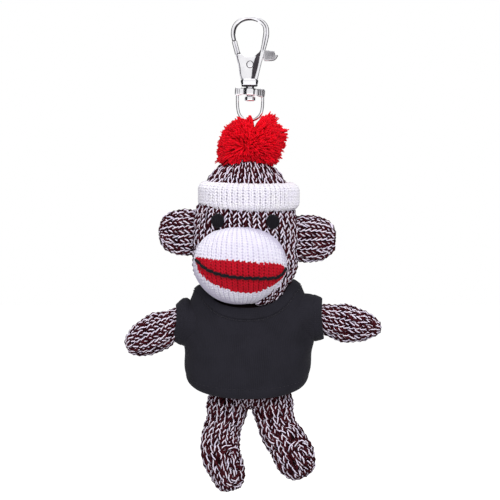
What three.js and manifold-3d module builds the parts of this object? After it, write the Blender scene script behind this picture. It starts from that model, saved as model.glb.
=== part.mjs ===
// Plush sock monkey on a swivel snap hook. Millimetres, +Z up, the face looks towards -Y.
// The origin is the flat seat at the top of the hook's eye, where a key ring bears.
import * as THREE from "three";
import { mergeVertices } from "three/addons/utils/BufferGeometryUtils.js";
import Module from "manifold-3d";

const wasm = await Module();
wasm.setup();

// Clearances
const FIT_GAP = 0.3;
const TURN_GAP = 0.45;
const PIN_GAP = 0.2;
const NECK_GAP = 1.2;
const CORE_GAP = 0.8;

// Snap hook
const SEAT_WIDTH = 2.4;
const CROWN_THICK = 1.7;
const EYE_RADIUS = 5.6;
const EYE_FOOT_RADIUS = 3.4;
const EYE_HEIGHT = 14.8;
const HOOK_RADIUS = 7.7;
const HOOK_THICK = 4.4;
const HOOK_BEVEL = 0.6;
const FOOT_DROP = 8.9;
const FOOT_HALF = 3.1;
const COLLAR_RADIUS = 3.5;
const COLLAR_HEIGHT = 2.4;
const TIP_OUT = 6.25;
const TIP_DROP = 7.9;
const TIP_SLOPE = 50;
const TIP_REACH = 4.5;
const GATE_THICK = 3.0;
const LEVER_THICK = 1.6;
const LEVER_BAR = 2.2;
const HUB_RADIUS = 2.1;
const SLOT_UNDER_HUB = 1.5;
const RIVET_RADIUS = 1.15;
const RIVET_DROP = 3.0;
const RIVET_RECESS = 0.1;
const TAB_LENGTH = 5.0;
const TAB_HEIGHT = 3.6;
const TAB_THICK = 3.4;
const TAB_RISE = 3.5;
const TAB_LIP = 0.5;
const SPRING_WIRE = 0.14;
const SPRING_RADIUS = 0.5;
const SPRING_LENGTH = 2.7;
const SPRING_TURNS = 3.4;
const SPRING_OUT = 2.95;

// Swivel post and ring
const POST_RADIUS = 1.55;
const POST_SUNK = 1.7;
const POST_HEAD_RADIUS = 2.2;
const POST_HEAD_HEIGHT = 1.9;
const BAR_CLEAR = 0.9;
const BAR_HEIGHT = 3.2;
const BAR_DEPTH = 3.2;
const BOSS_RADIUS = 2.8;
const RING_HALF_WIDTH = 5.2;
const RING_WIRE = 0.65;
const RING_LENGTH = 9.8;
const RING_YAW = -15;

// Hat, pom-pom and its cords
const CORD_RADIUS = 0.65;
const TIE_RADIUS = 0.55;
const POMPOM_HALF_WIDTH = 14.2;
const POMPOM_HEIGHT = 21.2;
const POMPOM_RISE = 3.0;
const POMPOM_FLAT = 0.88;
const POMPOM_SINK = 4.6;
const POMPOM_SHIFT = 0.6;
const KNIT_WALL = 1.5;
const BRIM_HALF_WIDTH = 20.2;
const BRIM_HEIGHT = 11.2;
const BRIM_DROP = 11.4;
const BRIM_WALL = 6.0;
const BRIM_TUCK = 2.4;

// Head and face
const HEAD_LENGTH = 59.2;
const HEAD_SWELL = [21.5, 21.0, 18.6, 21.2, 23.6, 24.6];
const HEAD_FLAT = 0.86;
const HEAD_X = -1.5;
const HEAD_BACK = 1.5;
const NECK_HOLE = 7.0;
const NECK_PLUG = 9.0;
const EYE_HALF_WIDTH = 2.6;
const EYE_HALF_HEIGHT = 3.0;
const EYE_BULGE = 1.0;
const EYE_TURN = 0.55;
const EYE_SPREAD = 11.2;
const EYES_X = -2.0;
const EYE_DROP = 26.2;
const MUZZLE_HALF_WIDTH = 19.0;
const MUZZLE_LENGTH = 31.4;
const MUZZLE_FLAT = 0.72;
const MUZZLE_DROP = 28.4;
const MUZZLE_OUT = 13.0;
const MUZZLE_LEAN = 1.8;
const MUZZLE_X = -3.4;
const LIP_DROP = 15.4;
const LIP_TILT = 1.9;
const LIP_DEPTH = 11.0;
const MOUTH_SAG = 6.6;
const MOUTH_OVERRUN = 1.6;
const MOUTH_STEPS = 10;
const MOUTH_START = -0.86;
const MOUTH_END = 0.82;
const THREAD_RADIUS = 0.45;
const EAR_HALF_HEIGHT = 9.7;
const EAR_REACH = 15.2;
const EAR_SUNK = 7.0;
const EAR_FLAT = 0.45;
const EAR_LEFT_DROP = 31.0;
const EAR_RIGHT_DROP = 34.0;

// Torso and limbs
const BODY_TUCK = 12.6;
const BODY_LENGTH = 47.5;
const BODY_SWELL = [17, 18, 20, 21, 20];
const BODY_FLAT = 0.74;
const ARM_DROP = 14.4;
const ARM_SPREAD = 21.5;
const ARM_LENGTH = 31.8;
const ARM_SWELL = [5.0, 5.0, 6.5, 7.6, 7.4, 6.4];
const ARM_LEFT_FALL = 28;
const ARM_RIGHT_FALL = 10;
const ARM_SUNK = 4.3;
const HIP_RISE = 2.0;
const HIP_SPREAD = 8.8;
const HIP_SUNK = 7.4;
const LEG_SWELL = [7.7, 7.7, 7.3, 7.7, 7.8, 7.2];
const LEG_FALL = 23.5;
const LEG_LEFT_OUT = 3.0;
const LEG_RIGHT_OUT = 8.6;
const TOE_LEFT_OUT = -2.0;
const TOE_RIGHT_OUT = 11.4;
const LEG_RIGHT_LIFT = 2.4;
const FOOT_FORWARD = 12.0;
const FOOT_FALL = 6.5;
const LIMB_HOLE = 3.0;

// Shirt
const SHIRT_WALL = 1.0;
const SHIRT_SHOULDER = 25.0;
const SHIRT_HALF_WIDTH = 26.0;
const SHIRT_FOOT = 25.2;
const SHIRT_FLAT = 0.68;
const SHIRT_RISE = 4.0;
const SHIRT_LENGTH = 66.0;
const HEM_HALF_WIDTH = 27.0;
const HEM_LEVEL = 36.0;
const HEM_DROP = 13.5;
const NECK_FRONT = 10.4;
const NECK_SIDE = 3.6;
const NECK_BACK = 8.4;
const NECK_FRONT_EDGE = [-10.5, -3.5];
const NECK_BACK_EDGE = [4, 10];
const HEM_STEPS = 14;
const BAND_HEIGHT = 3.6;
const SLEEVE_ROOT = 8.6;
const SLEEVE_CUFF = 7.0;
const SLEEVE_LENGTH = 8.6;
const SLEEVE_SUNK = 0.5;

// Travel of the soft joints, in degrees
const NECK_TRAVEL = [-12, 0, 12];
const ARM_RAISE = 30;
const ARM_LOWER = 12;
const RING_TRAVEL = 45;

// Materials
const metal = new THREE.MeshStandardMaterial({ color: 0xc9ccd0, metalness: 1, roughness: 0.2 });
const marl = new THREE.MeshStandardMaterial({ color: 0x8c7a7c, roughness: 0.95 });
const white = new THREE.MeshStandardMaterial({ color: 0xe9e6e6, roughness: 0.95 });
const red = new THREE.MeshStandardMaterial({ color: 0xc01020, roughness: 0.9 });
const black = new THREE.MeshStandardMaterial({ color: 0x101012, roughness: 0.7 });
const jersey = new THREE.MeshStandardMaterial({ color: 0x2a2a2e, roughness: 0.95 });
const fibre = new THREE.MeshStandardMaterial({ color: 0xf4f4f0, roughness: 1 });

const part = new THREE.Group();
part.name = "plush_monkey_keychain";

function clean(geometry) {
  const bare = geometry.index ? geometry.toNonIndexed() : geometry.clone();
  bare.deleteAttribute("normal");
  bare.deleteAttribute("uv");
  return mergeVertices(bare, 1e-4);
}

function solid(geometry) {
  const whole = clean(geometry);
  const vertProperties = new Float32Array(whole.attributes.position.array);
  const triVerts = new Uint32Array(whole.index.array);
  return new wasm.Manifold(new wasm.Mesh({ numProp: 3, vertProperties, triVerts }));
}

function surface(body) {
  const mesh = body.getMesh();
  const geometry = new THREE.BufferGeometry();
  geometry.setAttribute("position", new THREE.BufferAttribute(new Float32Array(mesh.vertProperties), 3));
  geometry.setIndex(new THREE.BufferAttribute(new Uint32Array(mesh.triVerts), 1));
  geometry.computeVertexNormals();
  return geometry;
}

function place(name, body, material, holder) {
  const mesh = new THREE.Mesh(surface(body), material);
  mesh.name = name;
  holder.add(mesh);
}

// The same form with its skin moved out along its normals, or in for a negative amount.
function grow(geometry, amount) {
  const grown = clean(geometry);
  grown.computeVertexNormals();
  const point = grown.attributes.position;
  const normal = grown.attributes.normal;
  for (let i = 0; i < point.count; i += 1) {
    point.setXYZ(
      i,
      point.getX(i) + normal.getX(i) * amount,
      point.getY(i) + normal.getY(i) * amount,
      point.getZ(i) + normal.getZ(i) * amount,
    );
  }
  return grown;
}

// A smooth value between even steps of a list.
function blendList(list, t) {
  const position = t * (list.length - 1);
  const low = Math.min(Math.floor(position), list.length - 2);
  const share = position - low;
  const ease = share * share * (3 - 2 * share);
  return list[low] + (list[low + 1] - list[low]) * ease;
}

// A stuffed form: rings round a spine that swell and taper to two round ends.
// swell lists half-widths at even steps, flat is depth over width, blunt rounds the ends off more.
function stuffed({ spine, swell, flat, blunt, side, around, along }) {
  const points = spine.map((p) => new THREE.Vector3(...p));
  const curve = new THREE.CatmullRomCurve3(points, false, "centripetal");
  const across = new THREE.Vector3(...side);
  const geometry = new THREE.SphereGeometry(1, around, along);
  const point = geometry.attributes.position;
  const spot = new THREE.Vector3();
  for (let i = 0; i < point.count; i += 1) {
    const t = Math.min(Math.max((1 - point.getY(i)) / 2, 0), 1);
    const ring = Math.hypot(point.getX(i), point.getZ(i));
    const reach = ring < 1e-6 ? 0 : (blendList(swell, t) * ring ** blunt) / ring;
    const tangent = curve.getTangentAt(t);
    const wide = across.clone().addScaledVector(tangent, -across.dot(tangent)).normalize();
    const deep = new THREE.Vector3().crossVectors(tangent, wide);
    spot.copy(curve.getPointAt(t));
    spot.addScaledVector(wide, point.getX(i) * reach);
    spot.addScaledVector(deep, point.getZ(i) * reach * flat);
    point.setXYZ(i, spot.x, spot.y, spot.z);
  }
  return clean(geometry);
}

// The front of an upright stuffed form, as y at a given x and z.
function frontOf({ spine, swell, flat, blunt }, x, z) {
  const [start, end] = [spine[0], spine[spine.length - 1]];
  const t = Math.min(Math.max((z - start[2]) / (end[2] - start[2]), 0.02), 0.98);
  const half = blendList(swell, t) * (2 * Math.sqrt(t * (1 - t))) ** blunt;
  const offset = x - (start[0] + (end[0] - start[0]) * t);
  const share = Math.sqrt(Math.max(1 - (offset / half) ** 2, 0.02));
  return start[1] + (end[1] - start[1]) * t - half * flat * share;
}

// A prism with its outline in X and Z and its middle plane at y = 0.
function prismXZ(points, thick) {
  const shape = new THREE.Shape(points.map(([x, z]) => new THREE.Vector2(x, z)));
  const geometry = new THREE.ExtrudeGeometry(shape, { depth: thick, bevelEnabled: false });
  geometry.rotateX(Math.PI / 2);
  geometry.translate(0, thick / 2, 0);
  return geometry;
}

// A prism with its outline in Y and Z and its middle plane at x = 0.
function prismYZ(points, wide) {
  const shape = new THREE.Shape(points.map(([y, z]) => new THREE.Vector2(y, z)));
  const geometry = new THREE.ExtrudeGeometry(shape, { depth: wide, bevelEnabled: false });
  geometry.rotateX(Math.PI / 2);
  geometry.rotateZ(Math.PI / 2);
  geometry.translate(-wide / 2, 0, 0);
  return geometry;
}

function rod(radius, length, sides) {
  const geometry = new THREE.CylinderGeometry(radius, radius, length, sides);
  geometry.rotateX(Math.PI / 2);
  return geometry;
}

function pinAlongY(radius, length, sides) {
  return new THREE.CylinderGeometry(radius, radius, length, sides);
}

// A round cord or wire along a curve.
function cordAlong(curve, radius, sides, steps) {
  const outline = [];
  for (let i = 0; i < sides; i += 1) {
    const angle = (2 * Math.PI * i) / sides;
    outline.push(new THREE.Vector2(radius * Math.cos(angle), radius * Math.sin(angle)));
  }
  const shape = new THREE.Shape(outline);
  return new THREE.ExtrudeGeometry(shape, { steps, extrudePath: curve, bevelEnabled: false });
}

function curveThrough(points) {
  return new THREE.CatmullRomCurve3(points.map((p) => new THREE.Vector3(...p)), false, "centripetal");
}

// The room a piece takes up while it turns about an axis through a pivot.
function swept(geometry, pivot, axis, degrees) {
  let room = null;
  for (const degree of degrees) {
    const copy = clean(geometry);
    copy.translate(-pivot[0], -pivot[1], -pivot[2]);
    copy.applyMatrix4(new THREE.Matrix4().makeRotationAxis(axis, THREE.MathUtils.degToRad(degree)));
    copy.translate(...pivot);
    room = room ? room.add(solid(copy)) : solid(copy);
  }
  return room;
}

const AXIS_Y = new THREE.Vector3(0, 1, 0);
const AXIS_Z = new THREE.Vector3(0, 0, 1);
const FAR = 90;

// Levels of the snap hook, measured down from the seat
const eyeZ = -Math.sqrt(EYE_RADIUS ** 2 - (SEAT_WIDTH / 2) ** 2);
const eyeFootZ = -EYE_HEIGHT + EYE_FOOT_RADIUS;
const hookZ = CROWN_THICK - HOOK_RADIUS;
const footZ = -EYE_HEIGHT - FOOT_DROP;
const collarZ = footZ - COLLAR_HEIGHT;
const barTopZ = collarZ - BAR_CLEAR;
const barZ = barTopZ - BAR_HEIGHT;
const cheekZ = -EYE_HEIGHT + FIT_GAP;
const rivetZ = -EYE_HEIGHT - RIVET_DROP;
const slotThick = LEVER_THICK + 2 * FIT_GAP;
const slotFloorZ = rivetZ - HUB_RADIUS - SLOT_UNDER_HUB;

const clasp = new THREE.Group();
clasp.name = "snap_hook";
part.add(clasp);

// Hook plate: a round eye on a body that tapers to its foot
const footReach = Math.hypot(FOOT_HALF, hookZ - footZ);
const tangentAngle = Math.atan2(footZ - hookZ, FOOT_HALF) + Math.acos(HOOK_RADIUS / footReach);
const plateShape = new THREE.Shape();
plateShape.moveTo(-FOOT_HALF, footZ);
plateShape.lineTo(FOOT_HALF, footZ);
plateShape.absarc(0, hookZ, HOOK_RADIUS, tangentAngle, Math.PI - tangentAngle, false);
plateShape.closePath();
const eyeTaper = Math.asin((EYE_RADIUS - EYE_FOOT_RADIUS) / (eyeZ - eyeFootZ));
const seatAngle = Math.acos(SEAT_WIDTH / 2 / EYE_RADIUS);
const eyeHole = new THREE.Path();
eyeHole.absarc(0, eyeZ, EYE_RADIUS, Math.PI - seatAngle, Math.PI + eyeTaper, false);
eyeHole.absarc(0, eyeFootZ, EYE_FOOT_RADIUS, Math.PI + eyeTaper, 2 * Math.PI - eyeTaper, false);
eyeHole.absarc(0, eyeZ, EYE_RADIUS, -eyeTaper, seatAngle, false);
eyeHole.closePath();
plateShape.holes.push(eyeHole);
const plateGeometry = new THREE.ExtrudeGeometry(plateShape, {
  depth: HOOK_THICK - 2 * HOOK_BEVEL,
  bevelEnabled: true,
  bevelThickness: HOOK_BEVEL,
  bevelSize: HOOK_BEVEL,
  bevelOffset: -HOOK_BEVEL,
  bevelSegments: 1,
  curveSegments: 8,
});
plateGeometry.rotateX(Math.PI / 2);
plateGeometry.translate(0, HOOK_THICK / 2 - HOOK_BEVEL, 0);
const plate = solid(plateGeometry);

// Gate opening on the left of the eye; the tip face slopes so that the gate swings inwards
const slope = THREE.MathUtils.degToRad(TIP_SLOPE);
const slopeX = TIP_REACH * Math.cos(slope);
const slopeZ = TIP_REACH * Math.sin(slope);
const openingPoints = (gap) => {
  const sideX = gap * Math.sin(slope);
  const sideZ = -gap * Math.cos(slope);
  return [
    [slopeX - TIP_OUT + sideX, slopeZ - TIP_DROP + sideZ],
    [-slopeX - TIP_OUT + sideX, -slopeZ - TIP_DROP + sideZ],
    [-slopeX - TIP_OUT + sideX, cheekZ + gap],
    [-1, cheekZ + gap],
    [-1, eyeZ + eyeFootZ / 2],
  ];
};
const slotTopZ = cheekZ + TAB_HEIGHT - 1.2;
const slot = new THREE.BoxGeometry(4 * HOOK_RADIUS, slotThick, slotTopZ - slotFloorZ);
slot.translate(0, 0, (slotTopZ + slotFloorZ) / 2);
const rivetHole = pinAlongY(RIVET_RADIUS + FIT_GAP, 2 * HOOK_THICK, 16);
rivetHole.translate(0, 0, rivetZ);
const collar = rod(COLLAR_RADIUS, COLLAR_HEIGHT + 0.5, 24);
collar.translate(0, 0, collarZ + (COLLAR_HEIGHT + 0.5) / 2);
const postHole = rod(POST_RADIUS + PIN_GAP, 2 * (POST_SUNK + FIT_GAP), 20);
postHole.translate(0, 0, collarZ);
const hookBody = plate
  .subtract(solid(prismXZ(openingPoints(0), 2 * HOOK_THICK)))
  .subtract(solid(slot))
  .subtract(solid(rivetHole))
  .add(solid(collar))
  .subtract(solid(postHole));
place("hook_body", hookBody, metal, clasp);

// Gate lever: gate bar, hub and thumb tab in one piece
const gateSlab = new THREE.BoxGeometry(FAR, GATE_THICK, FAR);
const gateRoom = solid(prismXZ(openingPoints(FIT_GAP), 2 * HOOK_THICK));
const gateBar = plate.intersect(gateRoom).intersect(solid(gateSlab));
const leverBar = (x, z) => {
  const length = Math.hypot(x, z - rivetZ);
  const bar = new THREE.BoxGeometry(length, LEVER_THICK, LEVER_BAR);
  bar.translate(length / 2, 0, 0);
  bar.rotateY(-Math.atan2(z - rivetZ, x));
  bar.translate(0, 0, rivetZ);
  return solid(bar);
};
const edgeAt = (z) => FOOT_HALF + ((z - footZ) / (hookZ - footZ)) * (HOOK_RADIUS * 0.97 - FOOT_HALF);
const tabTopZ = rivetZ + TAB_RISE + TAB_HEIGHT / 2;
const tabFootZ = tabTopZ - TAB_HEIGHT;
const tabX = edgeAt(tabTopZ) + TURN_GAP;
const tab = prismXZ(
  [
    [tabX, tabTopZ],
    [edgeAt(tabFootZ) + TURN_GAP, tabFootZ],
    [tabX + TAB_LENGTH - 1, tabFootZ],
    [tabX + TAB_LENGTH, tabFootZ + 1],
    [tabX + TAB_LENGTH + TAB_LIP, tabTopZ - TAB_LIP],
    [tabX + TAB_LENGTH, tabTopZ],
    [tabX + TAB_LENGTH - 2 * TAB_LIP, tabTopZ - TAB_LIP],
  ],
  TAB_THICK,
);
const hub = pinAlongY(HUB_RADIUS, LEVER_THICK, 20);
hub.translate(0, 0, rivetZ);
const gateFootX = -edgeAt(cheekZ) + 1.3;
const gateLever = solid(hub)
  .add(leverBar(gateFootX, cheekZ + 1.4))
  .add(gateBar)
  .add(leverBar(tabX + 0.6, rivetZ + TAB_RISE))
  .add(solid(tab))
  .subtract(solid(rivetHole));
place("gate_lever", gateLever, metal, clasp);

const rivet = pinAlongY(RIVET_RADIUS, HOOK_THICK - 2 * RIVET_RECESS, 16);
rivet.translate(0, 0, rivetZ);
place("pivot_rivet", solid(rivet), metal, clasp);

// Gate spring: one coil that stands on the slot's floor under the tab's arm
class CoilCurve extends THREE.Curve {
  getPoint(t, target = new THREE.Vector3()) {
    const angle = t * SPRING_TURNS * 2 * Math.PI;
    const rise = SPRING_WIRE + t * (SPRING_LENGTH - 2 * SPRING_WIRE);
    return target.set(SPRING_RADIUS * Math.cos(angle), SPRING_RADIUS * Math.sin(angle), rise);
  }
}
const springGap = (SPRING_LENGTH - 2 * SPRING_WIRE) / SPRING_TURNS - 2 * SPRING_WIRE;
console.log(`gate spring least gap between curls ${springGap.toFixed(2)} mm`);
const spring = cordAlong(new CoilCurve(), SPRING_WIRE, 5, Math.round(SPRING_TURNS * 8));
spring.translate(SPRING_OUT, 0, slotFloorZ + FIT_GAP);
place("gate_spring", solid(spring), metal, clasp);

// Swivel post: a shank sunk in the collar and a head under the ring's bar
const headTopZ = barZ - FIT_GAP;
const postProfile = [
  [0, collarZ + POST_SUNK],
  [POST_RADIUS, collarZ + POST_SUNK],
  [POST_RADIUS, headTopZ],
  [POST_HEAD_RADIUS, headTopZ],
  [POST_HEAD_RADIUS, headTopZ - POST_HEAD_HEIGHT * 0.7],
  [POST_HEAD_RADIUS * 0.7, headTopZ - POST_HEAD_HEIGHT],
  [0, headTopZ - POST_HEAD_HEIGHT],
];
const post = new THREE.LatheGeometry(postProfile.map(([r, z]) => new THREE.Vector2(r, z)).reverse(), 20);
post.rotateX(Math.PI / 2);
place("swivel_post", solid(post), metal, clasp);

// Ring: cross bar with a round boss and a wire loop under it
const yaw = THREE.MathUtils.degToRad(RING_YAW);
const hingeZ = barZ - RING_LENGTH;
const bar = new THREE.BoxGeometry(2 * RING_HALF_WIDTH, BAR_DEPTH * 0.8, BAR_HEIGHT * 0.9);
bar.translate(0, 0, barZ + BAR_HEIGHT / 2);
const boss = rod(BOSS_RADIUS, BAR_HEIGHT, 20);
boss.translate(0, 0, barZ + BAR_HEIGHT / 2);
const ringCurve = curveThrough([
  [-RING_HALF_WIDTH, 0, barTopZ - 0.4],
  [-RING_HALF_WIDTH, 0, hingeZ + RING_HALF_WIDTH],
  [-RING_HALF_WIDTH * 0.85, 0, hingeZ + RING_HALF_WIDTH * 0.48],
  [-RING_HALF_WIDTH * 0.5, 0, hingeZ + RING_HALF_WIDTH * 0.13],
  [0, 0, hingeZ],
  [RING_HALF_WIDTH * 0.5, 0, hingeZ + RING_HALF_WIDTH * 0.13],
  [RING_HALF_WIDTH * 0.85, 0, hingeZ + RING_HALF_WIDTH * 0.48],
  [RING_HALF_WIDTH, 0, hingeZ + RING_HALF_WIDTH],
  [RING_HALF_WIDTH, 0, barTopZ - 0.4],
]);
const bore = rod(POST_RADIUS + PIN_GAP, 4 * BAR_HEIGHT, 20);
bore.translate(0, 0, barZ);
const ringBody = solid(bar)
  .add(solid(boss))
  .add(solid(cordAlong(ringCurve, RING_WIRE, 8, 28)))
  .subtract(solid(bore));
const ringGroup = new THREE.Group();
ringGroup.name = "swivel";
ringGroup.rotation.z = yaw;
part.add(ringGroup);
place("swivel_ring", ringBody, metal, ringGroup);

// The monkey hangs from the middle of the ring's lowest wire, where its own origin is
const monkey = new THREE.Group();
monkey.name = "monkey";
monkey.position.z = hingeZ;
part.add(monkey);

// Levels of the soft pieces, measured down from the ring
const pompomTopZ = POMPOM_RISE;
const pompomFootZ = pompomTopZ - POMPOM_HEIGHT;
const crownTopZ = pompomFootZ + POMPOM_SINK;
const headTop = crownTopZ - KNIT_WALL - FIT_GAP;
const chinZ = headTop - HEAD_LENGTH;
const brimTopZ = crownTopZ - BRIM_DROP;
const brimFootZ = brimTopZ - BRIM_HEIGHT;
const headMiddle = [HEAD_X, HEAD_BACK, headTop - HEAD_LENGTH / 2];

const headShape = {
  spine: [[HEAD_X, HEAD_BACK, headTop], headMiddle, [HEAD_X, HEAD_BACK, chinZ]],
  swell: HEAD_SWELL,
  flat: HEAD_FLAT,
  blunt: 1,
  side: [1, 0, 0],
  around: 20,
  along: 12,
};
const headForm = stuffed(headShape);
const headRoom = solid(grow(headForm, FIT_GAP));

// Head: a knit bag, open at the neck, round its filling
const neckHole = rod(NECK_HOLE, HEAD_LENGTH / 2, 16);
neckHole.translate(HEAD_X, HEAD_BACK, chinZ);
const headCover = solid(headForm).subtract(solid(grow(headForm, -KNIT_WALL))).subtract(solid(neckHole));
place("head_cover", headCover, marl, monkey);
const headCore = stuffed({ ...headShape, around: 14, along: 8 });
place("head_stuffing", solid(grow(headCore, -KNIT_WALL - CORE_GAP)), fibre, monkey);

// Hat: a knit crown that fits the head and a thick rolled brim
const crownEdgeZ = brimTopZ - BRIM_TUCK;
const belowCrown = new THREE.BoxGeometry(FAR, FAR, FAR);
belowCrown.translate(0, 0, crownEdgeZ - FAR / 2);
const crown = solid(grow(headForm, FIT_GAP + KNIT_WALL)).subtract(headRoom).subtract(solid(belowCrown));
place("hat_crown", crown, marl, monkey);
const brimRound = BRIM_WALL * 0.45;
const brimProfile = [];
for (const [cornerX, cornerZ, start] of [
  [BRIM_HALF_WIDTH - brimRound, brimFootZ + brimRound, -90],
  [BRIM_HALF_WIDTH - brimRound, brimTopZ - brimRound, 0],
  [BRIM_HALF_WIDTH - BRIM_WALL + brimRound, brimTopZ - brimRound, 90],
  [BRIM_HALF_WIDTH - BRIM_WALL + brimRound, brimFootZ + brimRound, 180],
]) {
  for (const step of [0, 45, 90]) {
    const angle = THREE.MathUtils.degToRad(start + step);
    const x = cornerX + brimRound * Math.cos(angle);
    const z = cornerZ + brimRound * Math.sin(angle);
    brimProfile.push(new THREE.Vector2(x, z));
  }
}
brimProfile.push(brimProfile[0].clone());
const brim = new THREE.LatheGeometry(brimProfile, 22);
brim.rotateX(Math.PI / 2);
brim.scale(1, HEAD_FLAT * 1.02, 1);
brim.translate(HEAD_X + 1, HEAD_BACK, 0);
const belowTuck = belowCrown.clone();
belowTuck.translate(0, 0, -FIT_GAP);
const crownRoom = solid(grow(headForm, 2 * FIT_GAP + KNIT_WALL)).subtract(solid(belowTuck));
const hatBrim = solid(brim).subtract(headRoom).subtract(crownRoom);
const brimRoom = solid(grow(brim, FIT_GAP));
place("hat_brim", hatBrim, white, monkey);

// Pom-pom with a trough for the ring's swing and a channel for the cords
const pompomShape = {
  spine: [
    [POMPOM_SHIFT, 0, pompomTopZ],
    [POMPOM_SHIFT, 0, pompomFootZ],
  ],
  swell: [POMPOM_HALF_WIDTH, POMPOM_HALF_WIDTH, POMPOM_HALF_WIDTH],
  flat: POMPOM_FLAT,
  blunt: 0.8,
  side: [1, 0, 0],
  around: 18,
  along: 10,
};
const loopRadius = RING_WIRE + FIT_GAP + CORD_RADIUS;
const channelRadius = loopRadius + CORD_RADIUS + 2 * FIT_GAP;
const tieZ = (pompomTopZ + pompomFootZ) / 2;
const tieRing = channelRadius + TIE_RADIUS - FIT_GAP;
const channel = rod(channelRadius, FAR, 16);
const tieRoom = new THREE.TorusGeometry(tieRing, TIE_RADIUS + FIT_GAP, 6, 16);
tieRoom.translate(0, 0, tieZ);
const troughFoot = RING_WIRE + TURN_GAP;
const troughRise = pompomTopZ + BAR_HEIGHT + RING_LENGTH;
const troughOut = troughFoot * 1.5 + troughRise * Math.tan(THREE.MathUtils.degToRad(RING_TRAVEL + 2));
const trough = prismYZ(
  [
    [-troughFoot, -troughFoot],
    [troughFoot, -troughFoot],
    [troughFoot * 1.5, 0],
    [troughOut, troughRise],
    [-troughOut, troughRise],
    [-troughFoot * 1.5, 0],
  ],
  2 * (RING_HALF_WIDTH + RING_WIRE + TURN_GAP),
);
trough.rotateZ(yaw);
const pompom = solid(stuffed(pompomShape))
  .subtract(solid(grow(headForm, 2 * FIT_GAP + KNIT_WALL)))
  .subtract(solid(trough))
  .subtract(solid(channel))
  .subtract(solid(tieRoom));
place("pompom", pompom, red, monkey);
const tie = new THREE.TorusGeometry(tieRing, TIE_RADIUS, 6, 16);
tie.translate(0, 0, tieZ);
place("pompom_tie", solid(tie), red, monkey);

// Hanging loop: a cord over the ring's lowest wire, both ends sewn to the crown
const loopEndZ = crownTopZ + 2 * FIT_GAP;
const loopCurve = curveThrough([
  [0, -loopRadius, loopEndZ],
  [0, -loopRadius, loopEndZ / 2],
  [0, -loopRadius, 0],
  [0, -loopRadius * 0.707, loopRadius * 0.707],
  [0, 0, loopRadius],
  [0, loopRadius * 0.707, loopRadius * 0.707],
  [0, loopRadius, 0],
  [0, loopRadius, loopEndZ / 2],
  [0, loopRadius, loopEndZ],
]);
const loop = cordAlong(loopCurve, CORD_RADIUS, 6, 24);
loop.rotateZ(yaw);
place("hanging_loop", solid(loop), red, monkey);

// Ears: flat half-round bags sewn to the sides of the head
const earAt = (sign, drop) => ({
  spine: [
    [HEAD_X + sign * (BRIM_HALF_WIDTH - EAR_SUNK), HEAD_BACK + 1, crownTopZ - drop],
    [HEAD_X + sign * (BRIM_HALF_WIDTH + EAR_REACH), HEAD_BACK + 1, crownTopZ - drop],
  ],
  swell: [EAR_HALF_HEIGHT, EAR_HALF_HEIGHT, EAR_HALF_HEIGHT],
  flat: EAR_FLAT,
  blunt: 0.7,
  side: [0, 0, 1],
  around: 12,
  along: 8,
});
for (const [name, sign, drop] of [
  ["left", -1, EAR_LEFT_DROP],
  ["right", 1, EAR_RIGHT_DROP],
]) {
  const earShape = earAt(sign, drop);
  const earForm = stuffed(earShape);
  const earCore = grow(stuffed({ ...earShape, around: 8, along: 6 }), -KNIT_WALL - CORE_GAP);
  const hollow = solid(grow(earForm, -KNIT_WALL));
  const ear = solid(earForm).subtract(hollow).subtract(headRoom).subtract(brimRoom);
  place(`ear_${name}`, ear, marl, monkey);
  place(`ear_stuffing_${name}`, solid(earCore).subtract(headRoom).subtract(brimRoom), fibre, monkey);
}

// Muzzle: a stuffed dome in three knit panels, white, red and white
const muzzleTopZ = crownTopZ - MUZZLE_DROP;
const muzzleShape = {
  spine: [
    [MUZZLE_X + MUZZLE_LEAN / 2, HEAD_BACK - MUZZLE_OUT, muzzleTopZ],
    [MUZZLE_X - MUZZLE_LEAN / 2, HEAD_BACK - MUZZLE_OUT, muzzleTopZ - MUZZLE_LENGTH],
  ],
  swell: [MUZZLE_HALF_WIDTH * 0.98, MUZZLE_HALF_WIDTH, MUZZLE_HALF_WIDTH * 0.97],
  flat: MUZZLE_FLAT,
  blunt: 0.9,
  side: [1, 0, 0],
  around: 20,
  along: 12,
};
const muzzleForm = stuffed(muzzleShape);
const muzzleShell = solid(muzzleForm).subtract(solid(grow(muzzleForm, -KNIT_WALL))).subtract(headRoom);
const lipZ = muzzleTopZ - LIP_DROP;
const mouthEdge = MUZZLE_HALF_WIDTH + MOUTH_OVERRUN;
const mouthLeft = [MUZZLE_X - mouthEdge, lipZ + LIP_TILT];
const mouthRight = [MUZZLE_X + mouthEdge, lipZ - LIP_TILT];
const lipArc = (depth, lift) =>
  new THREE.SplineCurve(
    [-1, -0.55, 0.05, 0.6, 1].map((u) => {
      const sag = depth * (1 - Math.abs(u) ** 2.2);
      return new THREE.Vector2(MUZZLE_X + mouthEdge * u, lipZ - LIP_TILT * u - sag + lift);
    }),
  );
const lowerArc = (lift) => lipArc(LIP_DEPTH, lift).getPoints(14).map((p) => [p.x, p.y]);
const seam = FIT_GAP / 2;
const noseRoom = prismXZ(
  [
    [mouthLeft[0], mouthLeft[1] + seam],
    [mouthRight[0], mouthRight[1] + seam],
    [FAR / 2, mouthRight[1] + seam],
    [FAR / 2, FAR / 2],
    [-FAR / 2, FAR / 2],
    [-FAR / 2, mouthLeft[1] + seam],
  ],
  2 * FAR,
);
const lipRoom = prismXZ(
  [
    [mouthLeft[0], mouthLeft[1] - seam],
    ...lowerArc(seam).slice(1, -1),
    [mouthRight[0], mouthRight[1] - seam],
  ],
  2 * FAR,
);
const chinRoom = prismXZ(
  [
    ...lowerArc(-seam),
    [FAR / 2, mouthRight[1] - seam],
    [FAR / 2, -FAR],
    [-FAR / 2, -FAR],
    [-FAR / 2, mouthLeft[1] - seam],
  ],
  2 * FAR,
);
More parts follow.
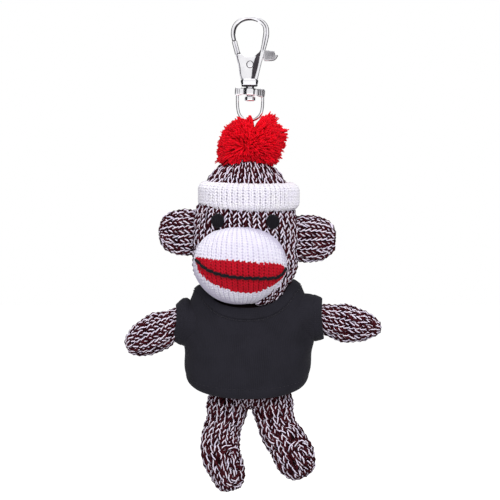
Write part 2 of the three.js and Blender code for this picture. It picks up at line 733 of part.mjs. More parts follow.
place("nose_panel", muzzleShell.intersect(solid(noseRoom)), white, monkey);
place("lip_panel", muzzleShell.intersect(solid(lipRoom)), red, monkey);
place("chin_panel", muzzleShell.intersect(solid(chinRoom)), white, monkey);
const muzzleCore = grow(stuffed({ ...muzzleShape, around: 14, along: 8 }), -KNIT_WALL - CORE_GAP);
place("muzzle_stuffing", solid(muzzleCore).subtract(headRoom), fibre, monkey);

// Mouth thread: one stitched line that sags between the corners of the lips
const mouthPoints = [];
for (let i = 0; i <= MOUTH_STEPS; i += 1) {
  const u = MOUTH_START + ((MOUTH_END - MOUTH_START) * i) / MOUTH_STEPS;
  const x = MUZZLE_X + MUZZLE_HALF_WIDTH * u;
  const z = lipZ - LIP_TILT * u - MOUTH_SAG * (1 - Math.abs(u / 0.9) ** 3);
  mouthPoints.push([x, frontOf(muzzleShape, x, z) - THREAD_RADIUS - FIT_GAP, z]);
}
place("mouth_thread", solid(cordAlong(curveThrough(mouthPoints), THREAD_RADIUS, 6, 24)), black, monkey);

// Eyes: black domed ovals on the head
const muzzleRoom = solid(grow(muzzleForm, FIT_GAP));
for (const [name, sign] of [
  ["eye_left", -1],
  ["eye_right", 1],
]) {
  const x = EYES_X + sign * EYE_SPREAD;
  const z = crownTopZ - EYE_DROP;
  const oval = new THREE.SphereGeometry(1, 14, 8);
  oval.scale(EYE_HALF_WIDTH, EYE_BULGE, EYE_HALF_HEIGHT);
  oval.rotateZ(sign * EYE_TURN);
  oval.translate(x, frontOf(headShape, x, z), z);
  place(name, solid(oval).subtract(headRoom).subtract(muzzleRoom), black, monkey);
}

// Body: a knit bag under the shirt, open to the neck
const neckPivot = [HEAD_X, HEAD_BACK, chinZ];
const neckRoom = solid(grow(headForm, NECK_GAP));
const faceRoom = swept(grow(muzzleForm, TURN_GAP), neckPivot, AXIS_Z, NECK_TRAVEL);
const bodyTopZ = chinZ + BODY_TUCK;
const bodyFootZ = bodyTopZ - BODY_LENGTH;
const bodyShape = {
  spine: [
    [0, HEAD_BACK, bodyTopZ],
    [0, HEAD_BACK, bodyFootZ],
  ],
  swell: BODY_SWELL,
  flat: BODY_FLAT,
  blunt: 0.8,
  side: [1, 0, 0],
  around: 18,
  along: 10,
};
const bodyForm = stuffed(bodyShape);

// Arms: stuffed bags that swell towards the hand
const shoulderZ = bodyTopZ - ARM_DROP;
const armParts = [];
for (const [name, sign, fall] of [
  ["left", -1, ARM_LEFT_FALL],
  ["right", 1, ARM_RIGHT_FALL],
]) {
  const angle = THREE.MathUtils.degToRad(fall);
  const pivot = [sign * ARM_SPREAD, HEAD_BACK, shoulderZ];
  const along = (distance, forward) => [
    pivot[0] + sign * distance * Math.cos(angle),
    pivot[1] - forward,
    pivot[2] - distance * Math.sin(angle),
  ];
  const droop = (SLEEVE_LENGTH * Math.tan(angle)) / 2.4;
  const armShape = {
    spine: [along(-ARM_SUNK, 0), along(ARM_LENGTH * 0.45, 1), along(ARM_LENGTH, 3)],
    swell: ARM_SWELL,
    flat: 1,
    blunt: 0.55,
    side: [0, 0, 1],
    around: 12,
    along: 9,
  };
  const sleeveShape = {
    spine: [
      [pivot[0] - sign * (SLEEVE_SUNK + 6), pivot[1], pivot[2] - droop],
      [pivot[0] + sign * (SLEEVE_LENGTH + 5), pivot[1], pivot[2] - 2 * droop],
    ],
    swell: [SLEEVE_ROOT, SLEEVE_ROOT, SLEEVE_CUFF, SLEEVE_CUFF],
    flat: 1,
    blunt: 0.4,
    side: [0, 0, 1],
    around: 14,
    along: 10,
  };
  const cuffRoom = (from, to) => {
    const block = new THREE.BoxGeometry(to - from, FAR, FAR);
    block.translate((from + to) / 2, 0, 0);
    block.rotateY(sign > 0 ? 0 : Math.PI);
    block.translate(...pivot);
    return block;
  };
  armParts.push({ name, sign, angle, pivot, root: ARM_SWELL[0], armShape, sleeveShape, cuffRoom });
}

// Legs: stuffed bags with feet that curl forward
const hipZ = bodyFootZ - HIP_RISE;
const legParts = [];
for (const [name, sign, out, toe, lift] of [
  ["left", -1, LEG_LEFT_OUT, TOE_LEFT_OUT, 0],
  ["right", 1, LEG_RIGHT_OUT, TOE_RIGHT_OUT, LEG_RIGHT_LIFT],
]) {
  const pivot = [sign * HIP_SPREAD, HEAD_BACK, hipZ];
  const ankleZ = hipZ - LEG_FALL + lift;
  const instep = out * 0.45 + toe * 0.55;
  const legShape = {
    spine: [
      [pivot[0], pivot[1], hipZ + HIP_SUNK],
      [pivot[0] + sign * out * 0.2, pivot[1], hipZ - 2],
      [pivot[0] + sign * out * 0.62, pivot[1], hipZ - LEG_FALL * 0.6 + lift * 0.3],
      [pivot[0] + sign * out, pivot[1] - 0.6, ankleZ],
      [pivot[0] + sign * instep, pivot[1] - FOOT_FORWARD * 0.45, ankleZ - FOOT_FALL * 0.85],
      [pivot[0] + sign * toe, pivot[1] - FOOT_FORWARD, ankleZ - FOOT_FALL],
    ],
    swell: LEG_SWELL,
    flat: 1,
    blunt: 0.55,
    side: [1, 0, 0],
    around: 12,
    along: 12,
  };
  legParts.push({ name, pivot, root: Math.max(LEG_SWELL[0], HIP_SUNK) + FIT_GAP, legShape });
}

// Round sockets in the body for the roots of the limbs
const ball = (pivot, radius) => {
  const geometry = new THREE.SphereGeometry(radius + TURN_GAP, 14, 10);
  geometry.translate(...pivot);
  return solid(geometry);
};
let limbRoom = null;
for (const { pivot, root } of [...armParts, ...legParts]) {
  limbRoom = limbRoom ? limbRoom.add(ball(pivot, root)) : ball(pivot, root);
}
const bodyCover = solid(bodyForm)
  .subtract(solid(grow(bodyForm, -KNIT_WALL)))
  .subtract(neckRoom)
  .subtract(faceRoom)
  .subtract(limbRoom);
place("body_cover", bodyCover, marl, monkey);
const bodyCore = grow(stuffed({ ...bodyShape, around: 12, along: 8 }), -KNIT_WALL - CORE_GAP);
const neckTopZ = chinZ + KNIT_WALL + CORE_GAP - FIT_GAP;
const neckPlug = rod(NECK_HOLE - TURN_GAP, NECK_PLUG, 16);
neckPlug.translate(HEAD_X, HEAD_BACK, neckTopZ - NECK_PLUG / 2);
const bodyStuffing = solid(bodyCore).subtract(neckRoom).subtract(limbRoom).add(solid(neckPlug));
place("body_stuffing", bodyStuffing, fibre, monkey);

for (const { name, pivot, armShape } of armParts) {
  const armForm = stuffed(armShape);
  const hole = pinAlongY(LIMB_HOLE, 2 * ARM_SUNK, 10);
  hole.rotateZ(Math.PI / 2);
  hole.translate(pivot[0] - Math.sign(pivot[0]) * ARM_SUNK, pivot[1], pivot[2]);
  const arm = solid(armForm).subtract(solid(grow(armForm, -KNIT_WALL))).subtract(solid(hole));
  place(`arm_${name}`, arm, marl, monkey);
  const core = grow(stuffed({ ...armShape, around: 8, along: 7 }), -KNIT_WALL - CORE_GAP);
  place(`arm_stuffing_${name}`, solid(core), fibre, monkey);
}

for (const { name, pivot, legShape } of legParts) {
  const legForm = stuffed(legShape);
  const hole = rod(LIMB_HOLE, HIP_SUNK, 10);
  hole.translate(pivot[0], pivot[1], pivot[2] + HIP_SUNK);
  const leg = solid(legForm).subtract(solid(grow(legForm, -KNIT_WALL))).subtract(solid(hole));
  place(`leg_${name}`, leg, marl, monkey);
  const core = grow(stuffed({ ...legShape, around: 8, along: 9 }), -KNIT_WALL - CORE_GAP);
  place(`leg_stuffing_${name}`, solid(core), fibre, monkey);
}

// Shirt: a loose jersey shell with a rib neck band, a bowed hem and short sleeves
const shirtTopZ = bodyTopZ + SHIRT_RISE;
const shirtShape = {
  spine: [
    [0, HEAD_BACK, shirtTopZ],
    [0, HEAD_BACK, shirtTopZ - SHIRT_LENGTH],
  ],
  swell: [SHIRT_SHOULDER, SHIRT_HALF_WIDTH, SHIRT_HALF_WIDTH, SHIRT_HALF_WIDTH, SHIRT_FOOT, SHIRT_FOOT],
  flat: SHIRT_FLAT,
  blunt: 0.5,
  side: [1, 0, 0],
  around: 22,
  along: 12,
};
const shirtForm = stuffed(shirtShape);
const hemPoints = [];
for (let i = 0; i <= HEM_STEPS; i += 1) {
  const angle = Math.PI * (1 + i / HEM_STEPS);
  hemPoints.push([HEM_HALF_WIDTH * Math.cos(angle), bodyTopZ - HEM_LEVEL + HEM_DROP * Math.sin(angle)]);
}
const hemRoom = prismXZ(
  [
    [-FAR, bodyTopZ - HEM_LEVEL],
    ...hemPoints,
    [FAR, bodyTopZ - HEM_LEVEL],
    [FAR, -3 * FAR],
    [-FAR, -3 * FAR],
  ],
  2 * FAR,
);
const neckLine = (drop) => [
  [-FAR, bodyTopZ - NECK_FRONT - drop],
  [HEAD_BACK + NECK_FRONT_EDGE[0], bodyTopZ - NECK_FRONT - drop],
  [HEAD_BACK + NECK_FRONT_EDGE[1], bodyTopZ - NECK_SIDE - drop],
  [HEAD_BACK + NECK_BACK_EDGE[0], bodyTopZ - NECK_SIDE - drop],
  [HEAD_BACK + NECK_BACK_EDGE[1], bodyTopZ - NECK_BACK - drop],
  [FAR, bodyTopZ - NECK_BACK - drop],
];
const above = [
  [FAR, FAR],
  [-FAR, FAR],
];
const aboveBand = solid(prismYZ([...neckLine(BAND_HEIGHT), ...above], 2 * FAR));
const aboveNeck = solid(prismYZ([...neckLine(0), ...above], 2 * FAR));
const aboveSeam = solid(prismYZ([...neckLine(BAND_HEIGHT - FIT_GAP), ...above], 2 * FAR));
// Armholes: the wedge that a sleeve takes up between its lowest and highest swing
let sleeveRoom = null;
for (const { sign, angle, pivot } of armParts) {
  const reach = SLEEVE_ROOT + TURN_GAP;
  const corner = (turn, out, up) => [
    sign * (out * Math.cos(turn) + up * Math.sin(turn)),
    up * Math.cos(turn) - out * Math.sin(turn),
  ];
  const raised = angle - THREE.MathUtils.degToRad(ARM_RAISE);
  const lowered = angle + THREE.MathUtils.degToRad(ARM_LOWER);
  const outline = [
    corner(raised, FAR / 3, reach),
    corner(raised, -SLEEVE_SUNK, reach),
    corner(angle, -SLEEVE_SUNK - 1, 0),
    corner(lowered, -SLEEVE_SUNK, -reach),
    corner(lowered, FAR / 3, -reach),
  ];
  const wedge = prismXZ(outline, 2 * reach);
  wedge.translate(...pivot);
  sleeveRoom = sleeveRoom ? sleeveRoom.add(solid(wedge)) : solid(wedge);
}
const shirtShell = solid(shirtForm)
  .subtract(solid(grow(shirtForm, -SHIRT_WALL)))
  .subtract(neckRoom)
  .subtract(faceRoom)
  .subtract(limbRoom)
  .subtract(sleeveRoom);
place("shirt_body", shirtShell.subtract(solid(hemRoom)).subtract(aboveBand), jersey, monkey);
place("neck_band", shirtShell.intersect(aboveSeam).subtract(aboveNeck), jersey, monkey);

for (const { name, sign, pivot, armShape, sleeveShape, cuffRoom } of armParts) {
  const steps = [-ARM_LOWER, 0, ARM_RAISE / 2, ARM_RAISE].map((degree) => degree * sign);
  const sleeveForm = stuffed(sleeveShape);
  const sleeve = solid(sleeveForm)
    .subtract(solid(grow(sleeveForm, -SHIRT_WALL)))
    .subtract(solid(grow(stuffed(armShape), FIT_GAP)))
    .subtract(solid(cuffRoom(SLEEVE_LENGTH, SLEEVE_LENGTH + FAR)))
    .subtract(solid(cuffRoom(-SLEEVE_SUNK - FAR, -SLEEVE_SUNK)))
    .subtract(swept(grow(bodyForm, FIT_GAP), pivot, AXIS_Y, steps));
  place(`sleeve_${name}`, sleeve, jersey, monkey);
}

export default part;
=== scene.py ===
import math
import bpy
import numpy as np
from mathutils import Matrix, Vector
from mathutils.bvhtree import BVHTree


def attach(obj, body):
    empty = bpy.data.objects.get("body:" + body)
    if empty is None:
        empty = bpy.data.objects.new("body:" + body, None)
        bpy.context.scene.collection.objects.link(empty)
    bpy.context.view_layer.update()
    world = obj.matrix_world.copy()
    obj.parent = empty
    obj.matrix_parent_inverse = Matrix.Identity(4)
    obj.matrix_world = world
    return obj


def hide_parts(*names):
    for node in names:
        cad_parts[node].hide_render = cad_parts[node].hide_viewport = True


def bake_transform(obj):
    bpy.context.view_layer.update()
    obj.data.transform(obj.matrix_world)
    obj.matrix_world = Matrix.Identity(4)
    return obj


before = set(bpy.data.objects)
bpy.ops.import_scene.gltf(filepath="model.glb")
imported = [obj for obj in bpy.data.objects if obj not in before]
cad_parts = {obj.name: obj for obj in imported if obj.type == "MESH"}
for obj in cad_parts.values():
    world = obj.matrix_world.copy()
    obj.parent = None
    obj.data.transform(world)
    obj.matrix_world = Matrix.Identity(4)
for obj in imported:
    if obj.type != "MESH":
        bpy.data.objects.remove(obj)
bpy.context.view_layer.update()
print("frame loaded,", len(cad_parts), "nodes")

mm = 0.001
rng = np.random.default_rng(23)  # one seeded source for every uneven stitch and strand
scene = bpy.context.scene
scene.view_settings.view_transform = "Standard"


# camera at the photograph's angle, 200 mm across the frame
viewSet = {"distance": 0.75, "lens": 135, "aim": (0.0, 0.0, -0.0918), "lift": 0.008, "nearest": 0.05}
aim = Vector(viewSet["aim"])


def faceAim(thing, spot):
    # puts a camera or lamp in the scene, turned to the object's middle
    thing.location = spot
    thing.rotation_euler = (aim - Vector(spot)).to_track_quat("-Z", "Y").to_euler()
    scene.collection.objects.link(thing)


cameraData = bpy.data.cameras.new("camera")
cameraData.lens = viewSet["lens"]
cameraData.clip_start = viewSet["nearest"]
camera = bpy.data.objects.new("camera", cameraData)
faceAim(camera, aim + Vector((0, -viewSet["distance"], viewSet["lift"])))
scene.camera = camera


# colour and node helpers
def tone(red, green, blue):
    share = [c / 255 for c in (red, green, blue)]
    return [c / 12.92 if c <= 0.04045 else ((c + 0.055) / 1.055) ** 2.4 for c in share] + [1.0]


def newGroup(name, **inputs):
    # an effect with its own inputs, which puts out a colour, a roughness and a height
    group = bpy.data.node_groups.new(name, "ShaderNodeTree")
    for label, value in inputs.items():
        kind = "NodeSocketFloat" if isinstance(value, float) else "NodeSocketColor"
        group.interface.new_socket(name=label, in_out="INPUT", socket_type=kind).default_value = value
    for label, kind in (("Colour", "NodeSocketColor"), ("Roughness", "NodeSocketFloat"), ("Height", "NodeSocketFloat")):
        group.interface.new_socket(name=label, in_out="OUTPUT", socket_type=kind)
    return group, group.nodes.new("NodeGroupInput").outputs, group.nodes.new("NodeGroupOutput").inputs


def feed(tree, node, values):
    # a socket is linked, anything else is set as a plain value
    for key, value in values.items():
        if isinstance(value, bpy.types.NodeSocket):
            tree.links.new(value, node.inputs[key])
        else:
            node.inputs[key].default_value = value
    return node


def addNode(tree, kind, values=None, **settings):
    node = tree.nodes.new(kind)
    for key, value in settings.items():
        setattr(node, key, value)
    return feed(tree, node, values or {})


def noiseNode(tree, place, scale, detail):
    return addNode(tree, "ShaderNodeTexNoise", {"Vector": place, "Scale": scale, "Detail": detail}).outputs["Fac"]


def rangeNode(tree, value, low, high):
    # stretches the middle of a noise to the whole way from low to high
    span = {"Value": value, "From Min": 0.3, "From Max": 0.7, "To Min": low, "To Max": high}
    return addNode(tree, "ShaderNodeMapRange", span).outputs["Result"]


def mathNode(tree, operation, *values):
    return addNode(tree, "ShaderNodeMath", dict(enumerate(values)), operation=operation).outputs[0]


def mixNode(tree, factor, first, second):
    return addNode(tree, "ShaderNodeMix", {"Factor": factor, 6: first, 7: second}, data_type="RGBA").outputs[2]


def putOut(group, sockets, *results):
    for socket, result in zip(sockets, results):
        group.links.new(result, socket)


# fibre: spun yarn that is a little lighter and darker along its length, with loose hairs
fibreTone, given, shown = newGroup("fibreTone", Colour=(1, 1, 1, 1), Shade=(0, 0, 0, 1), Patch=400.0, Hair=5000.0)
place = addNode(fibreTone, "ShaderNodeTexCoord").outputs["Object"]
patch = noiseNode(fibreTone, place, given["Patch"], 2)
hair = noiseNode(fibreTone, place, given["Hair"], 3)
putOut(fibreTone, shown, mixNode(fibreTone, rangeNode(fibreTone, patch, 0, 1), given["Colour"], given["Shade"]),
       rangeNode(fibreTone, hair, 0.78, 0.96), hair)

# plate: polished nickel with faint rub marks and duller patches at random
plateWear, given, shown = newGroup("plateWear", Colour=(1, 1, 1, 1), Dull=(0.5, 0.5, 0.5, 1), Smooth=0.1, Rubbed=0.25)
place = addNode(plateWear, "ShaderNodeTexCoord").outputs["Object"]
cloud = noiseNode(plateWear, place, 260, 3)
drawn = addNode(plateWear, "ShaderNodeMapping", {"Vector": place, "Scale": (1, 1, 0.06)}).outputs["Vector"]
scratch = noiseNode(plateWear, drawn, 900, 2)
putOut(plateWear, shown, mixNode(plateWear, rangeNode(plateWear, cloud, 0, 1), given["Colour"], given["Dull"]),
       rangeNode(plateWear, scratch, given["Smooth"], given["Rubbed"]), scratch)

# jersey: fine wales that run down the cloth and courses across them
jerseyWeave, given, shown = newGroup("jerseyWeave", Colour=(1, 1, 1, 1), Shade=(0, 0, 0, 1), Wales=100.0)
cloth = addNode(jerseyWeave, "ShaderNodeUVMap", uv_map="cloth").outputs["UV"]
waves = []
for direction, share in (("X", 1.0), ("Y", 1.4)):
    scale = mathNode(jerseyWeave, "MULTIPLY", given["Wales"], share)
    waves.append(addNode(jerseyWeave, "ShaderNodeTexWave", {"Vector": cloth, "Scale": scale, "Distortion": 0.6},
                         bands_direction=direction).outputs["Fac"])
weave = mathNode(jerseyWeave, "MULTIPLY", *waves)
soft = noiseNode(jerseyWeave, addNode(jerseyWeave, "ShaderNodeTexCoord").outputs["Object"], 120, 3)
worn = mathNode(jerseyWeave, "MULTIPLY_ADD", weave, 0.5, soft)
putOut(jerseyWeave, shown, mixNode(jerseyWeave, rangeNode(jerseyWeave, worn, 0, 1), given["Shade"], given["Colour"]),
       rangeNode(jerseyWeave, soft, 0.8, 0.95), weave)


def groupMaterial(name, group, values, plain, strength, depth):
    # an effect on the shader's colour, roughness and bump; plain values go on the shader itself
    material = bpy.data.materials.new(name)
    material.use_nodes = True
    tree = material.node_tree
    effect = addNode(tree, "ShaderNodeGroup", node_tree=group)
    seen = feed(tree, effect, values).outputs
    bump = addNode(tree, "ShaderNodeBump", {"Strength": strength, "Distance": depth, "Height": seen["Height"]})
    linked = {"Base Color": seen["Colour"], "Roughness": seen["Roughness"], "Normal": bump.outputs["Normal"]}
    feed(tree, tree.nodes["Principled BSDF"], {**plain, **linked})
    return material


def yarnMaterial(name, colour, shade, sheen, gloss=0.2):
    return groupMaterial(name, fibreTone, {"Colour": tone(*colour), "Shade": tone(*shade)},
                         {"Sheen Weight": sheen, "Sheen Roughness": 0.5, "Specular IOR Level": gloss}, 0.25, 0.0002)


def nickelMaterial(name, colour, dull, smooth, rubbed, strength, depth):
    look = {"Colour": tone(*colour), "Dull": tone(*dull), "Smooth": smooth, "Rubbed": rubbed}
    return groupMaterial(name, plateWear, look, {"Metallic": 1.0}, strength, depth)


yarnSet = {  # name, colour, shade, sheen, and gloss where it isn't the usual
    "brown": ("brownYarn", (78, 28, 36), (29, 8, 13), 0.0, 0.06),
    "lilac": ("lilacYarn", (252, 243, 255), (240, 230, 253), 0.15),
    # under: a near-black skin under the marl loops, painted shade in the gaps between them
    "under": ("paintedShadeSkin", (24, 8, 11), (16, 5, 7), 0.0),
    "white": ("whiteYarn", (253, 250, 255), (247, 243, 255), 0.2),
    "muzzleWhite": ("muzzleYarn", (246, 242, 254), (239, 235, 249), 0.2),
    # whiteUnder and brimUnder: skins under the white knits, a little greyer than the yarn as painted shade in the gaps
    "whiteUnder": ("paintedShadeWhiteSkin", (222, 215, 237), (210, 203, 225), 0.0),
    "brimUnder": ("paintedShadeBrimSkin", (234, 228, 248), (224, 218, 240), 0.0),
    "lip": ("lipYarn", (206, 22, 44), (186, 18, 38), 0.03),
    # lipUnder: a darker red skin under the lip stitches, painted shade in the gaps
    "lipUnder": ("paintedShadeLipSkin", (146, 15, 30), (126, 11, 24), 0.0),
    "pom": ("pompomYarn", (252, 10, 38), (240, 8, 33), 0.03),
    "pomDeep": ("pompomDeepYarn", (228, 6, 30), (210, 5, 25), 0.03),
    "thread": ("blackThread", (22, 20, 26), (14, 12, 18), 0.1),
    "shirtThread": ("charcoalThread", (45, 44, 51), (35, 34, 40), 0.1),
}
nickelSet = [  # name, colour, dull colour, smooth, rubbed, bump strength and depth
    ("polishedNickel", (247, 246, 249), (231, 230, 234), 0.08, 0.2, 0.04, 0.0001),
    # the second: rougher matte nickel for the knurled tab and spring, also used as painted shade on the ring's right
    # block and in grooves
    ("matteAndShadeNickel", (208, 206, 210), (162, 160, 165), 0.25, 0.45, 0.3, 0.0002),
    # the third: dark nickel that stands in as painted shade and painted dark reflection on edges, grooves and recesses
    ("paintedShadeNickel", (84, 79, 84), (56, 52, 56), 0.3, 0.5, 0.2, 0.0002),
]
yarns = {key: yarnMaterial(*values) for key, values in yarnSet.items()}
nickels = [nickelMaterial(*values) for values in nickelSet]
# slots of the nickels: bright, a matte one that also serves as painted shade, and a dark one for painted shade
brightSlot, matteAndShadeSlot, paintedShadeSlot = range(3)
jersey = groupMaterial("charcoalJersey", jerseyWeave, {"Colour": tone(41, 40, 47), "Shade": tone(30, 29, 35), "Wales": 4.5},
                       {"Sheen Weight": 0.04, "Sheen Roughness": 0.4, "Specular IOR Level": 0.15}, 0.3, 0.0002)
print("materials made")


# mesh helpers, all in millimetres until a piece is built
def newHeap():
    return {"verts": [], "faces": [], "slots": [], "count": 0}


def addTo(heap, verts, faces, slot):
    # slot: one number for every face, or a list with the numbers of each block of faces
    verts = np.asarray(verts, float).reshape(-1, 3)
    for block, numbers in zip(faces, slot if isinstance(slot, list) else [slot] * len(faces)):
        block = np.asarray(block, int)
        if len(block):
            heap["faces"].append(block + heap["count"])
            heap["slots"].append(np.broadcast_to(numbers, len(block)))
    heap["verts"].append(verts)
    heap["count"] += len(verts)


def buildPiece(name, heap, materials, uv=None):
    verts = np.concatenate(heap["verts"])
    used = np.zeros(len(verts), bool)
    for block in heap["faces"]:
        used[block.ravel()] = True
    fresh = np.cumsum(used) - 1
    corners = np.concatenate([fresh[block].ravel() for block in heap["faces"]])
    sizes = np.concatenate([np.full(len(block), block.shape[1]) for block in heap["faces"]])
    mesh = bpy.data.meshes.new(name)
    mesh.vertices.add(int(used.sum()))
    mesh.vertices.foreach_set("co", (verts[used] * mm).astype(np.float32).ravel())
    mesh.loops.add(len(corners))
    mesh.loops.foreach_set("vertex_index", corners.astype(np.int32))
    mesh.polygons.add(len(sizes))
    mesh.polygons.foreach_set("loop_start", np.r_[0, np.cumsum(sizes)[:-1]].astype(np.int32))
    mesh.polygons.foreach_set("material_index", np.concatenate(heap["slots"]).astype(np.int32))
    mesh.polygons.foreach_set("use_smooth", np.ones(len(sizes), bool))
    for material in materials:
        mesh.materials.append(material)
    if uv is not None:
        layer = mesh.uv_layers.new(name="cloth")
        layer.data.foreach_set("uv", np.asarray(uv)[used][corners].astype(np.float32).ravel())
    mesh.update(calc_edges=True)
    mesh.validate()
    piece = bpy.data.objects.new(name, mesh)
    scene.collection.objects.link(piece)
    return piece


def settle(piece, body, nodes=()):
    # hides the nodes the piece stands for, and sets it on the body it rides on; a piece that crosses a joint is left in
    # place
    if nodes:
        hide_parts(*nodes)
    if isinstance(body, str):
        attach(piece, body)
    else:
        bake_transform(piece)
    print("made", piece.name, len(piece.data.polygons), "faces")
    return piece


def gridFaces(rows, columns, closed):
    r, c = np.meshgrid(np.arange(rows - 1), np.arange(columns if closed else columns - 1), indexing="ij")
    a = r * columns + c
    b = r * columns + (c + 1) % columns
    return np.stack([a, b, b + columns, a + columns], -1).reshape(-1, 4)


def unit(vectors):
    return vectors / np.maximum(np.linalg.norm(vectors, axis=-1, keepdims=True), 1e-12)


def stepLength(line):
    return np.linalg.norm(np.diff(line, axis=0), axis=1)


def runLength(line):
    return np.r_[0, np.cumsum(stepLength(line))]


def pointAt(at, length, line):
    return np.stack([np.interp(at, length, line[:, i]) for i in range(3)], -1)


def roundSteps(count):
    return 2 * np.pi * np.arange(count) / count


def tubeFaces(link, sides):
    # side faces of each joined stretch, the caps of each run, and where the runs begin and stop
    begin, stop = (np.nonzero(link & ~beside)[0] for beside in (np.r_[False, link[:-1]], np.r_[link[1:], False]))
    a = np.arange(sides)
    b = (a + 1) % sides
    start = np.nonzero(link)[0][:, None] * sides
    quads = np.stack([start + a, start + b, start + b + sides, start + a + sides], -1).reshape(-1, 4)
    return [quads, begin[:, None] * sides + a[::-1], (stop + 1)[:, None] * sides + a], begin, stop


def addTube(heap, centre, normal, radius, sides, slot, link=None):
    # one round yarn or wire along points; link says which points it joins
    tangent = np.gradient(centre, axis=0)
    binormal = unit(np.cross(tangent, normal))
    normal = unit(np.cross(binormal, tangent))
    angle = roundSteps(sides)[None, :, None]
    radius = np.broadcast_to(radius, len(centre))[:, None, None]
    rings = centre[:, None] + radius * (np.cos(angle) * normal[:, None] + np.sin(angle) * binormal[:, None])
    link = np.ones(len(centre) - 1, bool) if link is None else link
    faces, begin, stop = tubeFaces(link, sides)
    slots = np.broadcast_to(slot, len(centre) - 1)
    addTo(heap, rings, faces, [np.repeat(slots[link], sides), slots[begin], slots[stop]])


def addTwist(heap, line, normal, side, turns, offset, radius):
    # two plies twisted round a line
    for ply in range(2):
        angle = (2 * np.pi * turns * np.linspace(0, 1, len(line)) + np.pi * ply)[:, None]
        addTube(heap, line + offset * (np.cos(angle) * normal + np.sin(angle) * side), normal, radius, 6, 0)


# a stuffed form: rings round a spine that swell and taper to two round ends
def spineLine(points, steps=200):
    p = np.array(points, float)
    ends = np.vstack([2 * p[0] - p[1], p, 2 * p[-1] - p[-2]])
    s = np.linspace(0, 1, steps)[:, None]
    runs = []
    for i in range(len(p) - 1):
        a, b, c, d = ends[i:i + 4]
        d0, d1, d2 = (max(np.linalg.norm(y - x) ** 0.5, 1e-6) for x, y in ((a, b), (b, c), (c, d)))
        m1 = ((b - a) / d0 - (c - a) / (d0 + d1) + (c - b) / d1) * d1
        m2 = ((c - b) / d1 - (d - b) / (d1 + d2) + (d - c) / d2) * d1
        runs.append((2 * s**3 - 3 * s**2 + 1) * b + (s**3 - 2 * s**2 + s) * m1
                    + (3 * s**2 - 2 * s**3) * c + (s**3 - s**2) * m2)
    return np.vstack([run[:-1] for run in runs] + [p[-1:]])


def blendList(values, t):
    values = np.array(values, float)
    at = t * (len(values) - 1)
    low = np.minimum(np.floor(at).astype(int), len(values) - 2)
    share = at - low
    return values[low] + (values[low + 1] - values[low]) * share * share * (3 - 2 * share)


def flatness(shape, t):
    # depth over width, one value for the whole form or a list along it
    values = np.atleast_1d(shape["flat"])
    return blendList(np.broadcast_to(values, max(len(values), 2)), t)


def makeForm(shape, samples=400):
    line = spineLine(shape["spine"])
    length = runLength(line)
    theta = np.linspace(0, np.pi, samples)
    t = (1 - np.cos(theta)) / 2
    centre, tangent = (pointAt(t, length / length[-1], v) for v in (line, unit(np.gradient(line, axis=0))))
    tangent = unit(tangent)
    side = np.array(shape["side"], float)
    wide = unit(side - (tangent @ side)[:, None] * tangent)
    half = (blendList(shape["swell"], t) * np.maximum(np.sin(theta), 0) ** shape["blunt"])[:, None]
    wide, deep = wide * half, np.cross(tangent, wide) * half * flatness(shape, t)[:, None]
    quarters = (0.8, 2.4, 3.9, 5.5)  # the way down the surface, from four lines on it
    steps = sum(stepLength(centre + wide * math.cos(f) + deep * math.sin(f)) for f in quarters) / len(quarters)
    return dict(shape, centre=centre, wide=wide, deep=deep, along=np.r_[0, np.cumsum(steps)])


def formPoint(form, s, phi):
    c, w, d = (pointAt(s, form["along"], form[key]) for key in ("centre", "wide", "deep"))
    return c + w * np.cos(phi)[..., None] + d * np.sin(phi)[..., None], c


def formSurface(form, s, phi, out=0.0, step=0.4, turn=0.02):
    # point and outward normal, from the way down the form and the angle round it
    end = form["along"][-1]
    point, centre = formPoint(form, s, phi)
    down = formPoint(form, np.clip(s + step, 0, end), phi)[0] - formPoint(form, np.clip(s - step, 0, end), phi)[0]
    across = formPoint(form, s, phi + turn)[0] - formPoint(form, s, phi - turn)[0]
    normal = unit(np.cross(across, down))
    normal *= np.sign(np.sum(normal * (point - centre), -1) + 1e-12)[..., None]
    return point + normal * out, normal


def addSkin(heap, form, out, slot, around=40, along=36, upTo=1.0):
    # closed skin under the yarn, or only its first part; under the knits its colour is the painted shade between the
    # stitches
    end = form["along"][-1] * upTo
    s = (1 - np.cos(np.linspace(0, np.pi, along + 1)[1:-1])) / 2 * end
    phi = roundSteps(around)
    grid = formSurface(form, np.repeat(s, around), np.tile(phi, along - 1), out)[0]
    first, last = (pointAt(x, form["along"], form["centre"]) for x in (0, end))
    ring, tail = np.arange(around), (along - 2) * around
    top = np.stack([np.full(around, len(grid)), (ring + 1) % around, ring], 1)
    foot = np.stack([np.full(around, len(grid) + 1), tail + ring, tail + (ring + 1) % around], 1)
    faces = [gridFaces(along - 1, around, True), top, foot]
    if np.cross(grid[1] - grid[0], grid[around] - grid[0]) @ formSurface(form, s[:1], phi[:1])[1][0] < 0:
        faces = [block[:, ::-1] for block in faces]
    addTo(heap, np.vstack([grid, first, last]), faces, slot)


def insideForm(form, points, spare):
    # true where a point lies more than spare inside an upright form
    order = np.argsort(form["centre"][:, 2])

    def level(values):
        return np.interp(points[:, 2], form["centre"][order, 2], values[order])

    wide, deep = (level(np.linalg.norm(form[key], axis=1)) for key in ("wide", "deep"))
    reach = sum(((points[:, i] - level(form["centre"][:, i])) / np.maximum(half - spare, 1e-3)) ** 2
                for i, half in enumerate((wide, deep)))
    return (reach < 1) & (wide > spare)


def uprightAt(shape, z):
    # at a level of an upright form: share of the way down, middle x, half width and how far the end rounds it off
    start, end = shape["spine"][0], shape["spine"][-1]
    t = np.clip((z - start[2]) / (end[2] - start[2]), 0.004, 0.996)
    fall = (2 * np.sqrt(t * (1 - t))) ** shape["blunt"]
    return t, start[0] + (end[0] - start[0]) * t, blendList(shape["swell"], t) * fall, fall


